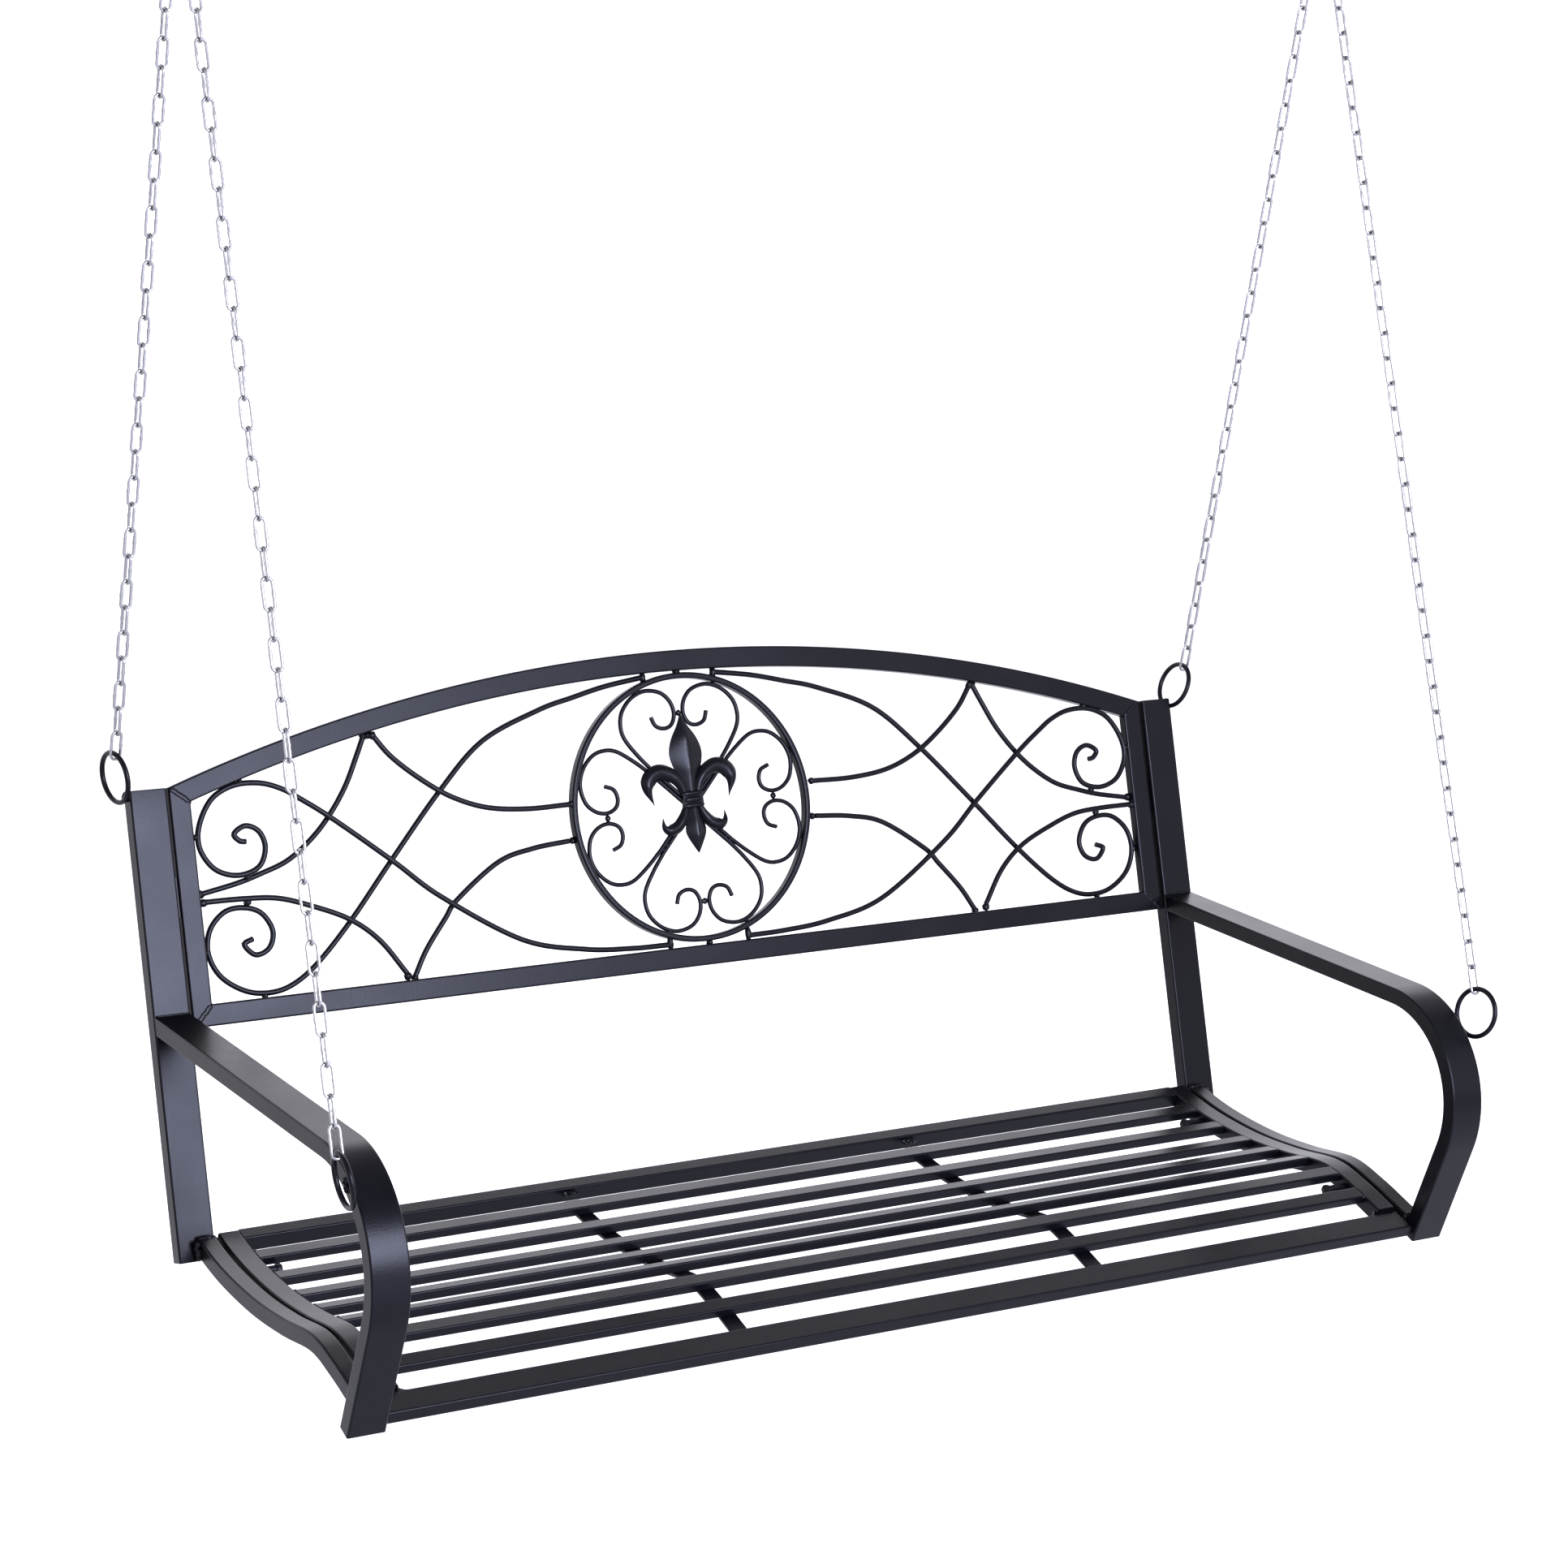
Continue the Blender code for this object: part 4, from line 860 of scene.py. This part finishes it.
def heart_welds(bm):
    """Spots in the hearts' notches, between neighbours and on the ring."""
    centre = Vector((MEDALLION_U, MEDALLION_S))
    for k in range(4):
        turn = math.radians(90.0 * k) - MEDALLION_TURN
        axis = Vector((math.cos(turn), math.sin(turn)))
        panel_blob(bm, *(centre + 0.1022 * axis), (0.0034, 0.0020, 0.0034), k)
        diagonal = Vector((math.cos(turn + math.pi / 4), math.sin(turn + math.pi / 4)))
        for reach in (0.052, 0.0585):
            panel_blob(bm, *(centre + reach * diagonal), (0.0024, 0.0019, 0.0024),
                       k + reach)
        for lobe in (-1, 1):
            angle = turn + lobe * math.radians(20.0)
            spot = centre + 0.1378 * Vector((math.cos(angle), math.sin(angle)))
            panel_blob(bm, *spot, (0.0026, 0.0020, 0.0026), k + lobe)


def mitre_seams(bm, side):
    """Ground-down weld seams over the four mitred corners, front and back."""
    plane = panel_plane()
    inner = PANEL_HALF - PANEL_TUBE
    corners = (((PANEL_HALF - 0.002, 0.001), (inner + 0.001, arch_line(PANEL_TUBE, inner))),
               ((PANEL_HALF - 0.002, PANEL_HEIGHT - 0.002),
                (inner + 0.001, PANEL_HEIGHT - PANEL_TUBE + 0.001)))
    for k, (outer, inside) in enumerate(corners):
        for depth, up in ((PANEL_SETBACK, -RAKE_BACK), (PANEL_SETBACK + PANEL_D, RAKE_BACK)):
            one = plane.at((side * outer[0], outer[1]), depth)
            two = plane.at((side * inside[0], inside[1]), depth)
            bead(bm, one, two, 0.0026, flat=0.28, up=up, seed=3 * k + side + depth * 90)
        panel_blob(bm, side * inside[0], inside[1], (0.0030, 0.0052, 0.0030), k + side)


def arm_welds(bm, side):
    """Seams round the armrest's butt joint on the post."""
    x_in, x_out = HALF_WIDTH - POST_W + 0.002, HALF_WIDTH - 0.002
    for drop, up, size in ((ARM_TOP_DROP - 0.0002, (0, 0, 1), 0.0011),
                           (ARM_TOP_DROP + ARM_D + 0.0008, (0, 0, -1), 0.0013)):
        y = -drop * math.tan(POST_RAKE) - 0.0002
        bead(bm, bench(side * x_in, y, -drop), bench(side * x_out, y, -drop), size,
             up=up, seed=drop * 40 + side, step=0.003)
    for x in (x_in - 0.0018, x_out + 0.0018):
        top, low = ARM_TOP_DROP + 0.001, ARM_TOP_DROP + ARM_D
        bead(bm, bench(side * x, -top * math.tan(POST_RAKE), -top),
             bench(side * x, -low * math.tan(POST_RAKE), -low), 0.0009,
             up=(side, 0, 0), seed=x * 30)


def rail_welds(bm, side):
    """The heavy weld of the side rail on the post's foot, and the one on the leg."""
    point, _ = seat_frame_at(RAIL_REAR_Y, RAIL_D / 2)
    x_in, x_out = RAIL_OUT - RAIL_W, RAIL_OUT
    y, z = point.x, point.y
    for i, (dx, dy, dz, r) in enumerate((
            (0.0010, -0.0010, -0.0030, 0.0048), (0.0016, -0.0012, 0.0045, 0.0042),
            (0.0006, 0.0006, -0.0085, 0.0040), (0.0030, 0.0010, 0.0002, 0.0034))):
        blob(bm, bench(side * (x_out + dx), y + dy, z + dz), SQUARE_ON,
             (r * 0.8, r, r), seed=i + side, rough=0.2)
    top = 0.5 * RAIL_D
    bead(bm, bench(side * x_in, y + 0.0020, z + top), bench(side * x_out, y + 0.0020, z + top),
         0.0026, seed=side + 0.2, up=(0, 0, 1))
    bead(bm, bench(side * x_in, y, z - top), bench(side * x_in, y + 0.002, z + top), 0.0022,
         seed=side + 0.6, up=(side, 0, 0))
    point, _ = seat_frame_at(RAIL_FRONT_Y, RAIL_D / 2)
    y, z = point.x - 0.0005, point.y
    bead(bm, bench(side * x_in, y, z + top), bench(side * x_out, y, z + top), 0.0020,
         seed=side + 1.2, up=(0, 0, 1))
    for x in (x_in, x_out):
        bead(bm, bench(side * x, y + 0.003, z - top), bench(side * x, y - 0.001, z + top),
             0.0018, seed=x * 9, up=(side, 0, 0))


def ring_welds(bm, side):
    for centre in (REAR_RING, FRONT_RING):
        if centre is REAR_RING:
            spots = ((0.0005, 0.0110, -0.0080, 0.0050), (0.0010, 0.0075, -0.0050, 0.0036))
        else:
            spots = ((0.0015, -0.5135, -0.2765, 0.0040), (0.0012, -0.5150, -0.2835, 0.0036))
        for i, (out, y, z, r) in enumerate(spots):
            blob(bm, bench(side * (HALF_WIDTH + out), y, z), SQUARE_ON, (r * 0.8, r, r),
                 seed=centre[1] * 7 + i + side, rough=0.18)


def corner_web(bm, side):
    """The hollow filler in the corner of a seat side and the front rail."""
    middle, forward = front_rail_frame()
    edge = middle - forward * SEAT_FRONT_W / 2
    corner = bench(side * (SEAT_OUT - SEAT_SIDE_W), edge.x, edge.y)
    inward = Vector((-side, 0.0, 0.0))
    rearward = Vector((0.0, -forward.x, -forward.y))
    down = Vector((0.0, -forward.y, forward.x))
    outline = [(-WEB_LAP, -WEB_LAP), (WEB_R, -WEB_LAP)]
    for i in range(9):
        angle = math.pi / 2 * i / 8
        outline.append((WEB_R * (1 - math.sin(angle)), WEB_R * (1 - math.cos(angle))))
    outline.append((-WEB_LAP, WEB_R))
    layers = []
    for depth in (WEB_LAP, SEAT_FRONT_D - WEB_LAP):
        layers.append([bm.verts.new(corner + p * inward + q * rearward + depth * down)
                       for p, q in outline])
    loft(bm, layers)


def slat_welds(bm, side):
    """Small weld spots at the slats' ends and on the straps."""
    inner = SEAT_OUT - SEAT_SIDE_W
    for i, back in enumerate(SLAT_BACKS):
        for k, edge in enumerate((0.0010, SLAT_W - 0.0010)):
            point, _ = seat_frame_at(-back - edge, 0.0012)
            grow = 1.0 + 0.3 * wobble(i, k + side)
            blob(bm, bench(side * (inner - 0.0004), point.x, point.y), SQUARE_ON,
                 (0.0022 * grow, 0.0016 * grow, 0.0015), seed=i + 3 * k + side, rough=0.2)
    point, _ = seat_frame_at(SEAT_REAR_Y - SEAT_REAR_W - 0.0005, 0.0060)
    for shift in (-0.0065, 0.0, 0.0060):
        blob(bm, bench(side * SUPPORT_X + shift, point.x, point.y), SQUARE_ON,
             (0.0030, 0.0018, 0.0026),
             seed=shift * 900 + side, rough=0.25)


# ---- hanging gear ----
def ring_contact(centre, side, yaw, lean, towards):
    """Where a pull towards a point meets the ring's middle line."""
    middle, along, up = ring_axes(centre, side, yaw, lean)
    pull = towards - middle
    flat = (pull.dot(along) * along + pull.dot(up) * up).normalized()
    return middle + RING_R * flat


def oval(half, straight, turns, steps):
    """A long ring's middle line: two half rounds joined by straights."""
    path = arc((0, straight), half, 0.0, math.pi, turns)
    path += [Vector((-half, straight * (1 - 2 * i / steps))) for i in range(1, steps)]
    path += arc((0, -straight), half, math.pi, math.tau, turns)
    path += [Vector((half, straight * (2 * i / steps - 1))) for i in range(1, steps)]
    return path


def add_link(bm, middle, across, down, half_long, weld_side):
    """One long welded link: two straights, two half rounds and its weld bulge."""
    plane = Plane(middle, across, down)
    straight = half_long - LINK_HALF
    path = oval(LINK_HALF, straight, 10, 6)
    scale = [1.0 + 0.28 * math.exp(-(p.y / 0.0011) ** 2) if p.x * weld_side > 0.004 else 1.0
             for p in path]
    sweep(bm, plane, path, round_wire(LINK_WIRE, 10), closed=True, scale=scale)


def build_chain(name, body, top, bottom, turn):
    down = (bottom - top).normalized()
    across = Vector((math.cos(turn), math.sin(turn), 0.0))
    across = (across - across.dot(down) * down).normalized()
    other = down.cross(across)
    length = (bottom - top).length
    total = length + HANGER_WIRE + RING_WIRE + RING_SLACK
    count = 2 * round((total / LINK_PITCH - 1) / 2) + 1
    pitch = total / count
    half_long = (pitch + LINK_WIRE * 2) / 2
    start = top + down * (half_long - HANGER_WIRE - LINK_WIRE)
    bm = bmesh.new()
    for i in range(count):
        tip = across if i % 2 == 0 else other
        add_link(bm, start + down * pitch * i, tip, down, half_long, 1 if i % 4 < 2 else -1)
    piece("look_" + name, bm, body, ZINC, (name,), 50.0)


def build_hanger(side):
    x = side * HANG_X
    top = SWING_Z + EYE_WIRE + HANGER_WIRE + HANGER_PLAY
    straight = HANGER_TALL / 2 - HANGER_HALF
    plane = Plane((x, 0.0, top - HANGER_TALL / 2), (0, 1, 0), (0, 0, 1))
    path = oval(HANGER_HALF, straight, 30, 10)
    scale = [1.0 + 0.16 * math.exp(-(p.y / 0.002) ** 2) if p.x > 0.015 else 1.0 for p in path]
    bm = bmesh.new()
    sweep(bm, plane, path, round_wire(HANGER_WIRE, 16), closed=True, scale=scale)
    name = f"hanger_{side_name(side)}"
    piece("look_" + name, bm, f"{side_name(side)}_hook", ZINC, (name,))


def plate_ring(half, radius, z, steps=6):
    """A rounded square outline at a height."""
    points = []
    for cx, cy, start in CORNERS:
        for i in range(steps + 1):
            a = math.tau * (start + 0.25 * i / steps)
            points.append(Vector((cx * (half - radius) + radius * math.cos(a),
                                  cy * (half - radius) + radius * math.sin(a), z)))
    return points


def lathe_down(bm, spot, profile, sides=24):
    """A turned body under a point: profile of (depth below it, radius)."""
    rings = []
    for depth, radius in profile:
        rings.append([bm.verts.new(Vector(spot) + Vector((radius * math.cos(a),
                                                          radius * math.sin(a), -depth)))
                      for a in (math.tau * i / sides for i in range(sides))])
    loft(bm, rings)


def build_fitting(side):
    """Rounded fixing plate with a welded staple and four screw heads."""
    x = side * HANG_X
    half = PLATE_SIZE / 2
    bm = bmesh.new()
    rings = []
    for inset, z in ((0.0004, 0.0), (0.0, -0.0004), (0.0, -PLATE_T + 0.0010),
                     (0.0004, -PLATE_T + 0.0003), (0.0011, -PLATE_T)):
        ring = plate_ring(half - inset, 0.006 - inset, z)
        rings.append([bm.verts.new(Vector((x, 0, 0)) + p) for p in ring])
    loft(bm, rings)
    bend = SWING_Z + EYE_R
    path = [Vector((-EYE_R, -PLATE_T / 2)), Vector((-EYE_R, (bend - PLATE_T) / 2))]
    path += arc((0, bend), EYE_R, math.pi, math.tau, 30)
    path += [Vector((EYE_R, (bend - PLATE_T) / 2)), Vector((EYE_R, -PLATE_T / 2))]
    sweep(bm, Plane((x, 0, 0), (1, 0, 0), (0, 0, 1)), path, round_wire(EYE_WIRE, 18))
    for px in (-1, 1):
        spot = Vector((x + px * EYE_R, 0.0, -PLATE_T))
        for k in range(9):
            a = math.tau * k / 9
            blob(bm, spot + 0.0041 * Vector((math.cos(a), math.sin(a), 0.0)),
                 SQUARE_ON, (0.0021, 0.0021, 0.0016), seed=k + px,
                 rough=0.15, rings=5, around=8)
        for py in (-1, 1):
            screw = Vector((x + px * PLATE_HOLE, py * PLATE_HOLE, -PLATE_T + 0.0005))
            lathe_down(bm, screw, ((0.0, 0.0052), (0.0008, 0.0052), (0.0018, 0.0046),
                                   (0.0026, 0.0032), (0.0029, 0.0020), (0.0016, 0.0017),
                                   (0.0014, 0.0004)))
    name = f"ceiling_eye_{side_name(side)}"
    piece("look_" + name, bm, "fittings", ZINC_PLATE, (name,), 40.0)


def build_hanging_gear():
    for side in SIDES:
        build_fitting(side)
        build_hanger(side)
        top = SWING_Z + EYE_WIRE + HANGER_WIRE + HANGER_PLAY
        centre = Vector((side * HANG_X, 0.0, top - HANGER_TALL + HANGER_HALF))
        for place, ring, yaw, lean in RINGS:
            low = ring_contact(ring, side, yaw[side], lean[side], centre)
            pull = low - centre
            high = centre + HANGER_HALF * Vector((0.0, pull.y, pull.z)).normalized()
            build_chain(f"chain_{place}_{side_name(side)}", f"{side_name(side)}_chains",
                        high, low, side * yaw[side] / 2)


def restyle_hidden():
    """The carried-over weld strips behind the panel's sides take the paint."""
    for name in ("panel_weld_left", "panel_weld_right"):
        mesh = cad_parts[name].data
        mesh.materials.clear()
        mesh.materials.append(BLACK)


# ---- studio ----
def make_camera():
    data = bpy.data.cameras.new("camera")
    data.sensor_width = 36.0
    data.lens = LENS
    data.clip_start, data.clip_end = 0.05, 100.0
    camera = bpy.data.objects.new("camera", data)
    camera.location = CAMERA_PLACE
    camera.rotation_euler = (CAMERA_PITCH, 0.0, CAMERA_TURN)
    bpy.context.collection.objects.link(camera)
    bpy.context.scene.camera = camera


def area_light(name, place, target, size, watts, colour):
    data = bpy.data.lights.new(name, "AREA")
    data.shape = "RECTANGLE"
    data.size, data.size_y = size
    data.energy = watts
    data.color = colour
    light = bpy.data.objects.new(name, data)
    light.location = place
    aim = Vector(target) - Vector(place)
    light.rotation_euler = aim.to_track_quat("-Z", "Y").to_euler()
    bpy.context.collection.objects.link(light)


def make_world(walls, ceiling):
    """A plain studio: evenly lit walls all round under a dimmer ceiling."""
    world = bpy.data.worlds.new("studio")
    bpy.context.scene.world = world
    world.use_nodes = True
    tree = world.node_tree
    back = tree.nodes["Background"]
    where = tree.nodes.new("ShaderNodeTexCoord")
    parts = tree.nodes.new("ShaderNodeSeparateXYZ")
    tree.links.new(where.outputs["Generated"], parts.inputs["Vector"])
    level = spread(tree, (-200, 0), parts.outputs["Z"], walls, ceiling, WALLS_END,
                   CEILING_STARTS)
    tree.links.new(level.outputs["Result"], back.inputs["Strength"])
    back.inputs["Color"].default_value = WORLD_TINT


def make_floor():
    bm = bmesh.new()
    flat = Matrix.Translation((0.0, 0.0, FLOOR_Z))
    bmesh.ops.create_grid(bm, x_segments=12, y_segments=12, size=FLOOR_REACH, matrix=flat)
    mesh = bpy.data.meshes.new("floor")
    bm.to_mesh(mesh)
    bm.free()
    mesh.materials.append(pale_floor())
    floor = bpy.data.objects.new("floor", mesh)
    bpy.context.collection.objects.link(floor)


build_side_frames()
build_panel_frame()
build_scrolls()
build_medallion()
build_fleur()
build_seat()
build_bolts()
build_welds()
build_hanging_gear()
restyle_hidden()
make_camera()
make_world(WALL_LIGHT, CEILING_LIGHT)
make_floor()
area_light("key", KEY_PLACE, KEY_TARGET, KEY_SIZE, KEY_WATTS, KEY_TINT)
area_light("rear_box", REAR_PLACE, REAR_TARGET, REAR_SIZE, REAR_WATTS, REAR_TINT)
bpy.context.scene.view_settings.view_transform = "Standard"
